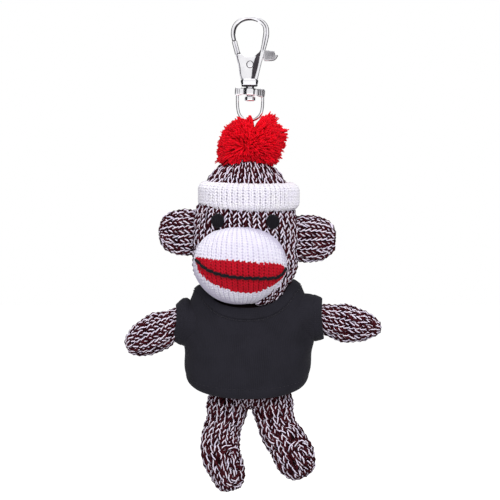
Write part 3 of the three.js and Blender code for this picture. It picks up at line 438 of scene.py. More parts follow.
def frontOf(shape, x, z):
    # y of an upright form's front at x and z
    t, middle, half = uprightAt(shape, z)[:3]
    share = np.sqrt(np.maximum(1 - ((x - middle) / half) ** 2, 0.0))
    start, end = shape["spine"][0][1], shape["spine"][-1][1]
    return start + (end - start) * t - half * flatness(shape, t) * share


# knit: each course is a row of loops that hook into the next; legs of the loops stand out as the V
def addKnit(heap, surface, wales, rows, look, slots, ring=True, keep=None, pick=None):
    # ring: one yarn that winds round and down; otherwise separate rows
    steps, plies = look["steps"], len(look["share"])
    if ring:
        along = np.arange(wales * rows * steps + 1) / steps
        row = along / wales
        place, count = along, int(along.max()) + 2
        broken, rowTurn = np.zeros(len(along) - 1, bool), 0
    else:
        along = np.tile(np.arange(wales * steps + 1) / steps, rows)
        row = np.repeat(np.arange(rows, dtype=float), wales * steps + 1)
        place, count = along + row * (wales + 1), wales * rows + rows + 2
        broken, rowTurn = np.diff(row) > 0, 2.4 * row
    turn = 2 * np.pi * along
    drift = pointAt(place, np.arange(count), rng.normal(0, 1, (count, 3)))
    stray = look["uneven"] * drift * [0.06, 0.1, 0.1]  # each loop a little aside, down and out
    u = along + look["lean"] * np.sin(2 * turn) + look["pinch"] * np.sin(turn) + stray[:, 0]
    v = row + look["reach"] * np.cos(turn) + stray[:, 1]
    base, normal = surface(u, v)
    centre = base + normal * (look["lift"] - look["depth"] * np.cos(2 * turn) + stray[:, 2])[:, None]
    kept = np.ones(len(along), bool) if keep is None else keep(surface(np.round(along), row)[0])
    link = kept[:-1] & kept[1:] & ~broken
    tangent = unit(np.gradient(centre, axis=0))
    binormal = unit(np.cross(tangent, normal))
    level = unit(np.cross(binormal, tangent))
    for ply, ratio in enumerate(look["share"]):
        angle = look["twist"] * turn + 2 * np.pi * ply / plies + look["stray"] * (np.sin(row * 2.1) + drift[:, 1]) + rowTurn
        offset = look["yarn"] * (1 - ratio) * (np.cos(angle)[:, None] * level + np.sin(angle)[:, None] * binormal)
        radius = look["yarn"] * ratio * look["press"] * (1 - look["thin"] * np.cos(turn) ** 2)
        slot = slots[ply] if pick is None else np.array(slots)[pick(base)[:-1]]
        addTube(heap, centre + offset, normal, radius, look["sides"], slot, link)


# share: thickness of each ply in the yarn; press: how much the plies swell into each other
marlLook = {"steps": 12, "sides": 6, "yarn": 0.7, "share": (0.62, 0.38), "press": 1.06, "lean": 0.27, "reach": 0.93,
            "depth": 0.75, "lift": -0.89, "thin": 0.25, "twist": 1.0, "stray": 0.5, "pinch": 0.03, "uneven": 0.8}
fineLook = {"steps": 14, "sides": 5, "yarn": 0.43, "share": (1.0,), "press": 1.0, "lean": 0.21, "reach": 0.66,
            "depth": 0.24, "lift": -0.42, "thin": 0.0, "twist": 0.0, "stray": 0.0, "pinch": 0.07, "uneven": 0.4}
crownLook = dict(marlLook, reach=1.0, lean=0.24, uneven=1.6, stray=0.8)  # drawn up towards the pom-pom
limbLook = dict(marlLook, share=(0.65, 0.35), stray=0.6)
toeLook = dict(limbLook, lean=0.22, reach=0.9, uneven=0.6, stray=0.8)
marlYarns = [yarns["under"], yarns["brown"], yarns["lilac"]]


def addMarl(heap, form, keep, look=marlLook, out=0.0, skinOut=-1.1, upTo=1.0):
    # a near-black skin as painted shade in the gaps, and over it the loops of brown and lilac yarn
    wales, pitch, end = form["wales"], form["pitch"], form["along"][-1]

    def surface(u, v):
        return formSurface(form, np.clip(v * pitch, 0.05, end - 0.05), 2 * np.pi * u / wales, out)

    addSkin(heap, form, out + skinOut, 0, upTo=upTo)
    addKnit(heap, surface, wales, int(end / pitch), look, [1, 2], keep=keep)


def marlPiece(name, form, body, nodes, keep, fill, more=None, **rest):
    heap = newHeap()
    addMarl(heap, form, keep, **rest)
    if more:
        more(heap)
    settle(buildPiece(name, heap, marlYarns), body, nodes)


# head, hat and face
hinge = -40.0  # the ring's lowest wire, from which the monkey hangs
headSet = {"spine": [(-1.4, 1.5, -55.4), (-1.9, 1.5, -85.0), (-1.9, 1.5, -114.6)],
           "swell": [21.5, 20.3, 20.8, 21.5, 24.2, 24.6], "flat": [0.86, 0.86, 0.77, 0.85, 0.86, 0.86],
           "blunt": 1.0, "side": (1, 0, 0), "wales": 33, "pitch": 2.1, "knitTop": -72.8}
muzzleSet = {"spine": [(-4.35, -11.5, -82.0), (-3.55, -11.5, -113.4)],
             "swell": [19.25, 18.85, 17.4], "flat": 0.72, "blunt": 0.9, "side": (1, 0, 0)}
# the fuller cheek that shows beside the chin, to the right of, before and below its corner
cheekSet = {"spine": [(1.1, -7.0, -86.0), (1.1, -7.0, -113.8)], "swell": [14.3, 14.3, 14.3], "flat": 0.8, "blunt": 0.75,
            "side": (1, 0, 0), "wales": 22, "pitch": 2.1, "corner": (3, -2, -90)}
headForm, muzzleForm, cheekForm = (makeForm(shape) for shape in (headSet, muzzleSet, cheekSet))


def cheekShows(p):
    x, y, z = cheekSet["corner"]
    hidden = insideForm(muzzleForm, p, spare=1.2) | insideForm(headForm, p, spare=0.6)
    return (p[:, 0] > x) & (p[:, 1] < y) & (p[:, 2] < z) & ~hidden


marlPiece("head_knit", headForm, "head", ("head_cover", "head_stuffing"),
          lambda p: (p[:, 2] < headSet["knitTop"]) & ~insideForm(muzzleForm, p, spare=1.6), 0.9,
          lambda heap: addMarl(heap, cheekForm, cheekShows))

crownSet = {"wales": 31, "pitch": 2.9, "top": -54.3, "edge": -68.0}
marlPiece("hat_crown_knit", dict(headForm, **crownSet), "head", ("hat_crown",),
          lambda p: (p[:, 2] < crownSet["top"]) & (p[:, 2] > crownSet["edge"]), 0.5,
          look=crownLook, out=0.9, skinOut=-1.0, upTo=0.36)

earSet = {"middle": (-1.5, 2.5), "root": 13.2, "flat": 0.45, "blunt": 0.7, "side": (0, 0, 1), "wales": 15, "pitch": 2.2}
earSides = (("left", -1, -84.7, 34.9, 9.2), ("right", 1, -87.3, 35.9, 9.4))  # side, sign, level, reach, half height
for side, sign, level, reach, half in earSides:
    spine = [(earSet["middle"][0] + sign * out, earSet["middle"][1], level) for out in (earSet["root"], reach)]
    earForm = makeForm(dict(earSet, spine=spine, swell=[half, half, half]))
    marlPiece("ear_knit_" + side, earForm, "head", ("ear_" + side, "ear_stuffing_" + side),
              lambda p: ~insideForm(headForm, p, spare=0.8), 0.7)

# brim: a rolled cuff of fine white knit that dips a little at the front
brimSet = {"centre": (-0.5, 1.5), "half": 19.8, "flat": 0.877, "top": -64.6, "foot": -75.4, "wall": 6.0, "round": 2.9,
           "bulge": 0.5, "dip": 1.2, "deep": 17.7, "tilt": -0.02, "wales": 56, "rows": 16, "start": 2.2, "spare": 5.0,
           "core": (17.2, 15.1, -70.6), "skin": 0.7, "skinRound": 2.1, "skinSteps": 72}


def roundedLoop(half, wall, top, foot, corner, steps=10):
    points = []
    for cx, cz, begin in ((half - wall + corner, top - corner, 180), (half - corner, top - corner, 90),
                          (half - corner, foot + corner, 0), (half - wall + corner, foot + corner, -90)):
        for k in range(steps):
            angle = math.radians(begin - 90 * k / (steps - 1))
            points.append((cx + corner * math.cos(angle), cz + corner * math.sin(angle)))
    return np.array(points)


brimLoop = roundedLoop(brimSet["half"], brimSet["wall"], brimSet["top"], brimSet["foot"], brimSet["round"])
brimRise = np.clip((brimLoop[:, 1] - brimSet["foot"]) / 11.2, 0, 1)
brimLoop[:, 0] += brimSet["bulge"] * np.sin(np.pi * brimRise) * (brimLoop[:, 0] > 17.5)  # fuller on the outside
brimLength = runLength(brimLoop)


def brimTurn(r, z, angle):
    # a point of the cuff's section, turned round the head
    x, y = r * np.cos(angle), r * brimSet["flat"] * np.sin(angle)
    cx, cy = brimSet["centre"]
    return np.stack([cx + x, cy + y, z + brimSet["dip"] * y / brimSet["deep"] + brimSet["tilt"] * x], -1)


def brimPoint(s, angle):
    return brimTurn(*(np.interp(s, brimLength, brimLoop[:, i]) for i in range(2)), angle)


def brimSurface(u, v):
    angle = 2 * np.pi * u / brimSet["wales"]
    s = brimSet["start"] + v * (brimLength[-1] - brimSet["spare"]) / brimSet["rows"]
    point = brimPoint(s, angle)
    across = brimPoint(s, angle + 0.02) - brimPoint(s, angle - 0.02)
    normal = unit(np.cross(across, brimPoint(s + 0.3, angle) - brimPoint(s - 0.3, angle)))
    (cx, cy), (wide, deep, level) = brimSet["centre"], brimSet["core"]
    middle = np.stack([cx + wide * np.cos(angle), cy + deep * np.sin(angle), np.full(len(u), level)], -1)
    return point, normal * np.sign(np.sum(normal * (point - middle), -1))[:, None]


heap = newHeap()
# the skin under the cuff's stitches is greyer, painted shade in the gaps
inset = brimSet["skin"]
inner = roundedLoop(brimSet["half"] - inset, brimSet["wall"] - 2 * inset, brimSet["top"] - inset, brimSet["foot"] + inset,
                    brimSet["skinRound"])
skin = np.stack([brimTurn(*inner.T, a) for a in roundSteps(brimSet["skinSteps"])])
rolled = np.concatenate([skin, skin[:, :1]], 1)
addTo(heap, np.concatenate([rolled, rolled[:1]]), [gridFaces(len(rolled) + 1, rolled.shape[1], False)], 0)
addKnit(heap, brimSurface, brimSet["wales"], brimSet["rows"], fineLook, [1])
settle(buildPiece("hat_brim_knit", heap, [yarns["brimUnder"], yarns["white"]]), "head", ("hat_brim",))

# muzzle: one knit dome, white with a red lens of stitches for the lips
muzzleKnit = {"wales": 27, "rows": 38, "halfWidth": 19.0, "halfLength": 15.7, "width": 2.2, "height": 1.28, "gather": 0.4,
              "slope": 0.165, "within": 0.985, "foot": -112.6, "middle": (-3.7, -11.5, -97.7), "round": (18.6, 13.4, 15.7)}
lipTop = np.array([(-21.4, -94.6), (-19.6, -94.2), (-17.1, -94.9), (-11.6, -95.3), (-2.2, -95.9), (3.1, -96.4),
                   (8.6, -96.7), (12.4, -97.4), (14.2, -98.6)])
lipFoot = np.array([(-21.4, -95.6), (-20.9, -97.4), (-20.2, -99.6), (-19.5, -100.8), (-17.1, -103.1), (-13.6, -105.1),
                    (-9.7, -106.7), (-3.9, -108.3), (0.0, -108.4),
                    (3.7, -108.0), (6.2, -106.8), (8.6, -105.8), (10.9, -104.3), (12.4, -103.0), (13.5, -101.5),
                    (14.4, -98.9)])


def muzzleXZ(u, v):
    aside = u - muzzleKnit["wales"] / 2
    a = aside * muzzleKnit["width"] / muzzleKnit["halfWidth"]
    b = (v - (muzzleKnit["rows"] - 1) / 2 + muzzleKnit["slope"] * aside) * muzzleKnit["height"] / muzzleKnit["halfLength"]
    z = muzzleKnit["middle"][2] - muzzleKnit["halfLength"] * np.sin(np.clip(b, -1.5, 1.5))
    middle, half, fall = uprightAt(muzzleSet, z)[1:]
    half = half * muzzleKnit["within"]
    x = muzzleKnit["halfWidth"] * np.sin(np.clip(a, -1.5, 1.5)) * fall ** muzzleKnit["gather"]
    return middle + np.clip(x, -half, half), z


def muzzleSurface(u, v):
    x, z = muzzleXZ(u, v)
    point = np.stack([x, frontOf(muzzleSet, x, z), z], -1)
    normal = unit((point - muzzleKnit["middle"]) / np.square(muzzleKnit["round"]))
    sink = 0.5 * np.clip((0.8 - np.abs(normal[:, 1:2])) / 0.5, 0, 1)  # stitches lie flatter where the dome turns away
    return point - normal * sink, normal


def onMuzzle(p):
    middle, half = uprightAt(muzzleSet, p[:, 2])[1:3]
    across = np.abs(p[:, 0] - middle) < half * muzzleKnit["within"]
    return across & ~insideForm(headForm, p, spare=-0.2) & (p[:, 2] > muzzleKnit["foot"])


def inLips(p):
    x, z = p[:, 0], p[:, 2]
    between = (z < np.interp(x, *lipTop.T)) & (z > np.interp(x, *lipFoot.T))
    return between & (x > lipFoot[0, 0]) & (x < lipFoot[-1, 0])


heap = newHeap()
# a skin under the stitches: greyer white, and darker red under the lips, as painted shade in the gaps
addSkin(heap, muzzleForm, -0.35, 0, 56, 44)
# the skin's faces under the lips take the darker red painted shade
for k, block in enumerate(heap["faces"]):
    middles = heap["verts"][0][block].mean(1)
    heap["slots"][k] = (inLips(middles) & (middles[:, 1] < -8)).astype(int)
addKnit(heap, muzzleSurface, muzzleKnit["wales"], muzzleKnit["rows"], fineLook, [2, 3], False, onMuzzle,
        lambda p: inLips(p).astype(int))
muzzle = buildPiece("muzzle_knit", heap, [yarns[key] for key in ("whiteUnder", "lipUnder", "muzzleWhite", "lip")])
settle(muzzle, "head", ("nose_panel", "lip_panel", "chin_panel", "muzzle_stuffing"))

# mouth: a back-stitched black thread across the lips
mouthSet = {"line": [(-21.5, -95.1), (-19.0, -97.5), (-16.9, -99.05), (-11.6, -101.1), (-6.4, -102.05), (0.4, -102.5),
                     (6.1, -102.65), (10.3, -102.35), (12.4, -101.3), (14.2, -98.9)],
            "points": 300, "radius": 0.66, "proud": 0.5, "stitches": 13, "slant": 0.5, "dip": 0.4, "turns": 30, "ply": 0.24}
forward, upward = np.array([0.0, -1.0, 0.0]), np.array([0.0, 0.0, 1.0])
line = spineLine([(x, 0, z) for x, z in mouthSet["line"]], 40)
length = runLength(line)
share = np.linspace(0, 1, mouthSet["points"])
path = pointAt(share, length / length[-1], line)
pulse = np.abs(np.sin(np.pi * mouthSet["stitches"] * share)) ** 0.5
path[:, 1] = np.maximum(frontOf(muzzleSet, path[:, 0], path[:, 2]), -26) - mouthSet["proud"] + mouthSet["dip"] * (1 - pulse)
path[:, 2] += mouthSet["slant"] * (mouthSet["stitches"] * share % 1 - 0.5)  # each stitch starts below the end of the last
heap = newHeap()
addTwist(heap, path, forward, upward, mouthSet["turns"], mouthSet["ply"], mouthSet["radius"] * (0.4 + 0.37 * pulse))
settle(buildPiece("mouth_stitch", heap, [yarns["thread"]]), "head", ("mouth_thread",))

# eyes: satin stitch over an oval pad
eyeSet = {"spots": (("left", -12.7, -80.2), ("right", 9.0, -80.5)), "half": (2.45, 2.75), "bulge": 1.0, "threads": 13,
          "points": 12, "radius": 0.3, "padShare": 0.95}
for side, x0, z0 in eyeSet["spots"]:
    heap = newHeap()
    for layer in range(2):  # threads across for the pad, then upright over it
        for k in range(eyeSet["threads"]):
            across = (k + 0.5) / eyeSet["threads"] * 2 - 1
            reach = math.sqrt(max(1 - across**2, 0.02)) * (1 + 0.05 * rng.normal())
            f = np.linspace(-1, 1, eyeSet["points"]) * reach
            dome = np.sqrt(np.maximum(1 - (across**2 + f**2), 0)) * (1.0 if layer else 0.7)
            across = np.full(len(f), across)
            dx, dz = (across, f) if layer else (f * eyeSet["padShare"], across * eyeSet["padShare"])
            px, pz = x0 + dx * eyeSet["half"][0] + 0.08 * rng.normal(), z0 + dz * eyeSet["half"][1]
            y = frontOf(headSet, px, pz) - 0.2 - eyeSet["bulge"] * dome
            addTube(heap, np.stack([px, y, pz], 1), forward, eyeSet["radius"], 6, 0)
    settle(buildPiece("eye_stitch_" + side, heap, [yarns["thread"]]), "head", ("eye_" + side,))
print("face stitched")

# pom-pom: cut strands that leave the tie, fan out and lean away from a parting at front and back
pomSet = {"centre": (0.2, 0.0, -48.2), "deep": 12.2, "strands": 4600, "tufts": 90, "radius": 0.36, "steps": 6, "sides": 5,
          "yaw": math.radians(-15), "gather": 0.12, "scatter": 0.05, "length": 0.96, "cut": 0.03, "tuftCut": 0.05,
          "longShare": 0.025, "long": 0.07, "tie": 0.3, "sweep": 0.2, "curl": 0.35, "deepShare": 0.3,
          "partings": ([[-0.26, -0.93, -0.26]], [[0.2, 0.95, 0.1]]),  # front and back, from which the strands lean away
          # room for the ring: half length, half width at its foot, how that widens upwards, how far below the foot
          "ringRoom": (6.6, 1.9, 1.12, 1.3),
          "notch": (2.2, -42, 0.2, 1.2, -43.2),  # parting at the top: x, at level, lean, half width, foot
          "wire": ([-40.0, -39.3, -37.5, -34.8, -33.0], [0.0, -2.6, -4.4, -5.1, -5.2]), "wireHalf": 1.2, "wireFoot": -40.4,
          # reach in the plane of the face, by degrees round from the right: two lobes, a parting at the top, full below
          "reach": [(-40, 13.6), (-20, 13.4), (0, 13.4), (15, 14.3), (33, 13.0), (52, 13.8), (61, 12.2), (68, 9.8),
                    (73, 7.4), (78, 6.8), (84, 8.6), (92, 9.8), (104, 9.6), (117, 10.8), (130, 11.2), (142, 11.0),
                    (170, 11.6), (192, 12.5), (211, 15.0), (222, 13.8), (245, 10.8), (270, 10.0), (295, 11.0),
                    (320, 14.0)]}
pomCore = {"spine": [(0.6, 0, -42.6), (0.6, 0, -55.0)], "swell": [9.8, 10.2, 10.2],
           "flat": 0.88, "blunt": 0.85, "side": (1, 0, 0)}
count, pomCentre = pomSet["strands"], np.array(pomSet["centre"])
index = np.arange(count) + 0.5
up = 1 - 2 * index / count
spin = np.pi * (1 + 5**0.5) * index
way = np.stack([np.sqrt(1 - up**2) * np.cos(spin), np.sqrt(1 - up**2) * np.sin(spin), up], 1)
tuft = unit(rng.normal(0, 1, (pomSet["tufts"], 3)))  # strands fall into loose tufts
near = np.argmax(way @ tuft.T, 1)
way = unit(way + pomSet["gather"] * (tuft[near] - way) + rng.normal(0, pomSet["scatter"], way.shape))
degrees = np.degrees(np.arctan2(way[:, 2], way[:, 0]))
degrees = np.where(degrees < pomSet["reach"][0][0], degrees + 360, degrees)
reach = np.interp(degrees, *np.array(pomSet["reach"]).T)
half = np.stack([reach, np.full(count, pomSet["deep"]), reach], 1)
reachOut = pomSet["length"] + pomSet["cut"] * rng.normal(0, 1, count)
reachOut = reachOut + pomSet["tuftCut"] * rng.normal(0, 1, pomSet["tufts"])[near]
reachOut += pomSet["long"] * (rng.random(count) > 1 - pomSet["longShare"])
tip = pomCentre + way * half * reachOut[:, None]
whorl = np.where(way[:, 1:2] < 0, *pomSet["partings"])
facing = np.sum(way * whorl, 1)[:, None]
sweep = np.clip(facing, 0, 1) * unit(way - facing * whorl) * half * pomSet["sweep"]
alongRing = np.array([math.cos(pomSet["yaw"]), math.sin(pomSet["yaw"]), 0])
acrossRing = np.array([-alongRing[1], alongRing[0], 0])
share = np.linspace(0, 1, pomSet["steps"])
paths = []
for k in range(count):
    start = pomCentre + way[k] * half[k] * pomSet["tie"] - sweep[k] * 0.5
    bend = np.outer(share, tip[k] - start) + start
    bend += np.outer(share**1.8, sweep[k]) * 0.9 - np.outer(share, sweep[k]) * 0.2
    paths.append(bend + np.outer(np.sin(np.pi * share), rng.normal(0, pomSet["curl"], 3)))
paths = np.array(paths)
ends = paths[:, -1]
# strands that would cross the ring, fill the parting, sink into the crown or hide the ring's left wire are left out
depth, length = (np.abs((ends - [0, 0, hinge]) @ run) for run in (acrossRing, alongRing))
halfLength, halfWidth, widen, below = pomSet["ringRoom"]
room = (length < halfLength) & (depth < halfWidth + np.maximum(ends[:, 2] - hinge, 0) * widen) & (ends[:, 2] > hinge - below)
notchX, notchZ, lean, notchHalf, notchFoot = pomSet["notch"]
notch = (np.abs(ends[:, 0] - notchX - lean * (ends[:, 2] - notchZ)) < notchHalf) & (ends[:, 2] > notchFoot)
crownRoom = insideForm(headForm, ends, spare=-1.6)
besideWire = np.abs(ends[:, 0] - np.interp(ends[:, 2], *pomSet["wire"])) < pomSet["wireHalf"]
overWire = besideWire & (ends[:, 2] > pomSet["wireFoot"]) & (ends[:, 1] < 2)
heap = newHeap()
for bend in paths[~(room | notch | crownRoom | overWire)]:
    across = unit(np.cross(bend[-1] - bend[0], [0.3, 0.2, 0.9]))
    taper = pomSet["radius"] * (0.7 + 0.3 * share) * np.where(share > 0.99, 0.62, 1) * (1 + 0.12 * rng.normal())
    addTube(heap, bend, across, taper, pomSet["sides"], int(rng.random() < pomSet["deepShare"]))
addSkin(heap, makeForm(pomCore), 0, 1, 28, 18)
settle(buildPiece("pompom_strands", heap, [yarns["pom"], yarns["pomDeep"]]), "head", ("pompom", "pompom_tie"))

# hanging loop: twisted red cord over the ring's lowest wire
loopSet = {"radius": 1.6, "strand": 0.36, "ply": 0.3, "end": -53.0, "turns": 14, "points": 20}
arc = np.linspace(np.pi, 0, 24)[1:-1]
rise = np.linspace(loopSet["end"], hinge, loopSet["points"])
across = loopSet["radius"] * np.r_[np.full(len(rise), -1.0), np.cos(arc), np.ones(len(rise))]
cord = across[:, None] * acrossRing
cord[:, 2] = np.r_[rise, hinge + loopSet["radius"] * np.sin(arc), rise[::-1]]
heap = newHeap()
loopSide = unit(np.cross(np.gradient(cord, axis=0), alongRing))
addTwist(heap, cord, alongRing, loopSide, loopSet["turns"], loopSet["ply"], loopSet["strand"])
settle(buildPiece("hanging_cord", heap, [yarns["pom"]]), "head", ("hanging_loop",))

# limbs and body
shoulder = (21.5, 1.5, -116.4)
armSet = {"flat": 1.0, "blunt": 0.55, "side": (0, 0, 1), "wales": 14, "pitch": 2.3,
          "cuff": (26.3, -119, 0.12)}  # the knit starts inside the cuff: at x, and further out below a level
armSides = (  # side, sign, fall in degrees, sag at the middle and the hand, swell
    ("left", -1, 28, (0.0, -0.1), [5.0, 5.0, 5.6, 7.7, 7.6, 6.5]),
    ("right", 1, 10, (1.8, 1.3), [5.0, 5.1, 6.0, 7.7, 6.8, 4.9]))


def outOfCuff(p):
    x, level, lean = armSet["cuff"]
    return np.abs(p[:, 0]) > x + lean * np.maximum(level - p[:, 2], 0)


for side, sign, fall, sags, swell in armSides:
    angle = math.radians(fall)
    spine = [(sign * (shoulder[0] + d * math.cos(angle)), shoulder[1] - forwardBy, shoulder[2] - d * math.sin(angle) - sag)
             for d, forwardBy, sag in ((-4.3, 0, 0), (14.31, 1, sags[0]), (31.0, 3, sags[1]))]
    marlPiece("arm_knit_" + side, makeForm(dict(armSet, spine=spine, swell=swell)), side + "_arm",
              ("arm_" + side, "arm_stuffing_" + side), outOfCuff, 0.9, look=limbLook)

# toes: ovals of stitches, by their middle and long axis seen from the front
toeSet = {"rings": 2, "step": 2.4, "half": 4.3, "pitch": 2.6,
          "left": ((-7.0, -177.4), (0.1, -0.995)), "right": ((22.6, -174.0), (0.62, -0.785))}


def toeDistance(side, p):
    # how far a point is from the oval's middle line, seen from the front
    (x0, z0), (ax, az) = toeSet[side]
    along = np.clip((p[:, 0] - x0) * ax + (p[:, 2] - z0) * az, -toeSet["half"], toeSet["half"])
    return np.hypot(p[:, 0] - x0 - along * ax, p[:, 2] - z0 - along * az)


def addToe(heap, side, form):
    cover = newHeap()
    addSkin(cover, form, 0.0, 0, 72, 72)
    faces = [face for block in cover["faces"] for face in block.tolist()]
    tree = BVHTree.FromPolygons(np.concatenate(cover["verts"]).tolist(), faces)
    (x0, z0), (ax, az) = toeSet[side]
    half, step = toeSet["half"], toeSet["step"]
    straight = 2 * half
    for ring in range(toeSet["rings"]):
        bend = np.pi * (ring + 0.5) * step
        rows = max(int(round(2 * (straight + bend) / toeSet["pitch"])), 6)

        def surface(u, v):
            gap = ring * step + u * step
            f = (v / rows % 1) * 2 * (straight + bend)
            far = f >= straight + bend
            f = np.where(far, f - straight - bend, f)
            turn = np.clip((f - straight) / bend, 0, 1) * np.pi
            along = np.minimum(f, straight) - half + np.sin(turn) * gap
            aside = np.cos(turn) * gap
            along, aside = np.where(far, -along, along), np.where(far, -aside, aside)
            spots = list(zip(x0 + along * ax - aside * az, z0 + along * az + aside * ax))
            hits = [tree.ray_cast(Vector((x, -60, z)), Vector((0, 1, 0))) for x, z in spots]
            hits = [hit if hit[0] else tree.find_nearest(Vector((x, -9, z))) for hit, (x, z) in zip(hits, spots)]
            normals = [-hit[1] if hit[1].y > 0 else hit[1] for hit in hits]
            return np.array([hit[0] for hit in hits]), np.array(normals)

        addKnit(heap, surface, 1, rows, toeLook, [1, 2], False)


hipOut, hipZ = 8.8, -151.5
legSet = {"flat": 1.0, "blunt": 0.48, "side": (1, 0, 0), "wales": 15, "pitch": 2.55}
legSides = (  # side, sign, ankle out, toe out, foot lift, bow at the knee, toe below the ankle, swell
    ("left", -1, 3.0, -2.4, 0.0, 0.9, 12.4, [9.0, 9.1, 7.3, 7.7, 8.1, 7.9]),
    ("right", 1, 6.4, 12.0, 3.7, 0.46, 10.6, [9.0, 9.1, 7.5, 7.9, 9.0, 8.8]))
for side, sign, out, toe, lift, bow, below, swell in legSides:
    hipX, ankle, instep = sign * hipOut, hipZ - 23.5 + lift, out * 0.45 + toe * 0.55
    # the wales run down the front, over the toe and close under the sole
    run = [(0.4, 1.5, hipZ + 7.4), (0.4, 1.5, hipZ - 4), (out * bow, 1.2, hipZ - 14.1 + lift * 0.3),
           (out, -0.4, ankle + 2), (instep + 0.4, -2.6, ankle - 5.0), (toe + 0.9, -3.6, ankle - below)]
    legForm = makeForm(dict(legSet, spine=[(hipX + sign * x, y, z) for x, y, z in run], swell=swell))
    marlPiece("leg_knit_" + side, legForm, ("torso", side + "_leg", (hipX * mm, 0, -0.148), (hipX * mm, 0, -0.159)),
              ("leg_" + side, "leg_stuffing_" + side),
              lambda p: (toeDistance(side, p) > toeSet["rings"] * toeSet["step"] - 0.3) | (p[:, 1] > -3), 0.9,
              lambda heap: addToe(heap, side, legForm), look=limbLook)

bodySet = {"spine": [(0, 1.5, -102.0), (0, 1.5, -155.6)], "swell": [17, 18, 20, 21, 19.5], "flat": 0.74, "blunt": 0.8,
           "side": (1, 0, 0), "wales": 30, "pitch": 2.4, "knitTop": -140}
marlPiece("body_knit", makeForm(bodySet), "torso", ("body_cover", "body_stuffing"), lambda p: p[:, 2] < bodySet["knitTop"], 0.9)
print("limbs knitted")

# shirt: a blank jersey shell, neck band and two short sleeves
shirtSet = {"columns": 120, "wall": 0.8, "centre": 1.5, "fold": 0.3,
            # centre x, half width, front depth, back depth, side level, front level, back level
            "stations": [(-1.4, 19.0, 14.2, 13.2, -104.6, -114.4, -107.6),
                         (-1.0, 21.2, 15.4, 15.0, -106.6, -119.0, -110.4),
                         (-0.6, 22.9, 16.2, 16.2, -110.4, -122.0, -113.6),
                         (-0.3, 24.8, 16.6, 17.0, -115.6, -127.0, -119.0),
                         (-0.4, 26.3, 17.3, 17.4, -124.0, -132.0, -126.0),
                         (-0.8, 25.6, 17.6, 17.6, -133.0, -138.6, -134.5),
                         (-1.1, 25.0, 17.4, 17.4, -140.0, -144.8, -142.0),
                         (-1.2, 23.8, 17.0, 17.0, -143.8, -148.6, -146.8),
                         (-1.0, 22.2, 16.4, 16.6, -145.6, -150.2, -149.2)]}


def shirtRing(station, phi):
    x0, half, front, back, sideZ, frontZ, backZ = station
    ahead, behind = np.maximum(-np.sin(phi), 0), np.maximum(np.sin(phi), 0)
    x = x0 + half * np.sign(np.cos(phi)) * np.abs(np.cos(phi)) ** 0.9
    y = shirtSet["centre"] - front * ahead**0.9 + back * behind**0.9
    bow = np.interp(sideZ, [-125, -104], [1.3, 2.5])
    upper = np.interp(sideZ, [-112, -104], [0, 1])
    tilt = 0.063 * upper
    # room under the chin for the head to turn
    room = upper * np.where(x < x0, 3.2, 2.8) * np.maximum(ahead - 0.55, 0) * (1 - ahead)
    z = sideZ + (frontZ - sideZ) * (ahead**bow + room) + (backZ - sideZ) * behind**bow + tilt * (x - x0) * (1 - ahead)
    return np.stack([x, y, z], -1)


def smoothStations(rings, steps):
    # a smooth run of rings through the given ones
    rings = np.array(rings)
    flatRun = np.array([spineLine(rings[:, i], steps) for i in range(rings.shape[1])])
    return flatRun.transpose(1, 0, 2)


def shellPiece(name, rings, wall, body, nodes):
    heap = newHeap()
    rows, columns = rings.shape[:2]
    addTo(heap, rings, [gridFaces(rows, columns, True)], 0)
    around = np.r_[0, np.cumsum(np.linalg.norm(np.diff(rings, axis=1), axis=2).mean(0))]
    down = np.r_[0, np.cumsum(np.linalg.norm(np.diff(rings, axis=0), axis=2).mean(1))]
    uv = np.stack(np.meshgrid(around, down), -1).reshape(-1, 2) * 0.1
    piece = buildPiece(name, heap, [jersey], uv)
    print("cloth", name, "round", around[-1] * columns / (columns - 1), "down", down[-1])
    wallMod = piece.modifiers.new("wall", "SOLIDIFY")
    wallMod.thickness = wall * mm
    wallMod.offset = -1
    return settle(piece, body, nodes)


# topstitching: short runs of thread that dip into the cloth at each end
stitchSet = {"long": 1.3, "gap": 0.5, "thread": 0.13, "proud": 0.1, "dip": [-2.0, 0.6, 1.0, 0.6, -2.0]}


def stitchPiece(name, ringLine, body):
    loop = np.vstack([ringLine, ringLine[:1]])
    length = runLength(loop)
    count = int(length[-1] / (stitchSet["long"] + stitchSet["gap"]))
    dip = stitchSet["proud"] * np.array(stitchSet["dip"])[:, None]
    heap = newHeap()
    for k in range(count):
        run = pointAt(length[-1] * k / count + np.linspace(0, stitchSet["long"], len(dip)), length, loop)
        outward = unit(run - ringLine.mean(0))
        addTube(heap, run + outward * dip, outward, stitchSet["thread"], 5, 0)
    return settle(buildPiece(name, heap, [yarns["shirtThread"]]), body)


def proudOf(ringLine, out):
    # a ring set out level from its middle
    return ringLine + unit(ringLine - ringLine.mean(0)) * [1, 1, 0] * out


phi = roundSteps(shirtSet["columns"])
shirtRings = smoothStations([shirtRing(st, phi) for st in shirtSet["stations"]], 6)
rows = len(shirtRings)
# hem: folded up, a little proud, with a stitched groove above it
fold = np.interp(np.arange(rows), [rows - 12, rows - 9, rows - 8, rows - 2, rows - 1], [0, -0.12, 0.12, 0.12, 0.0])
outward = unit((shirtRings - shirtRings.mean(1, keepdims=True)) * [1, 1, 0])
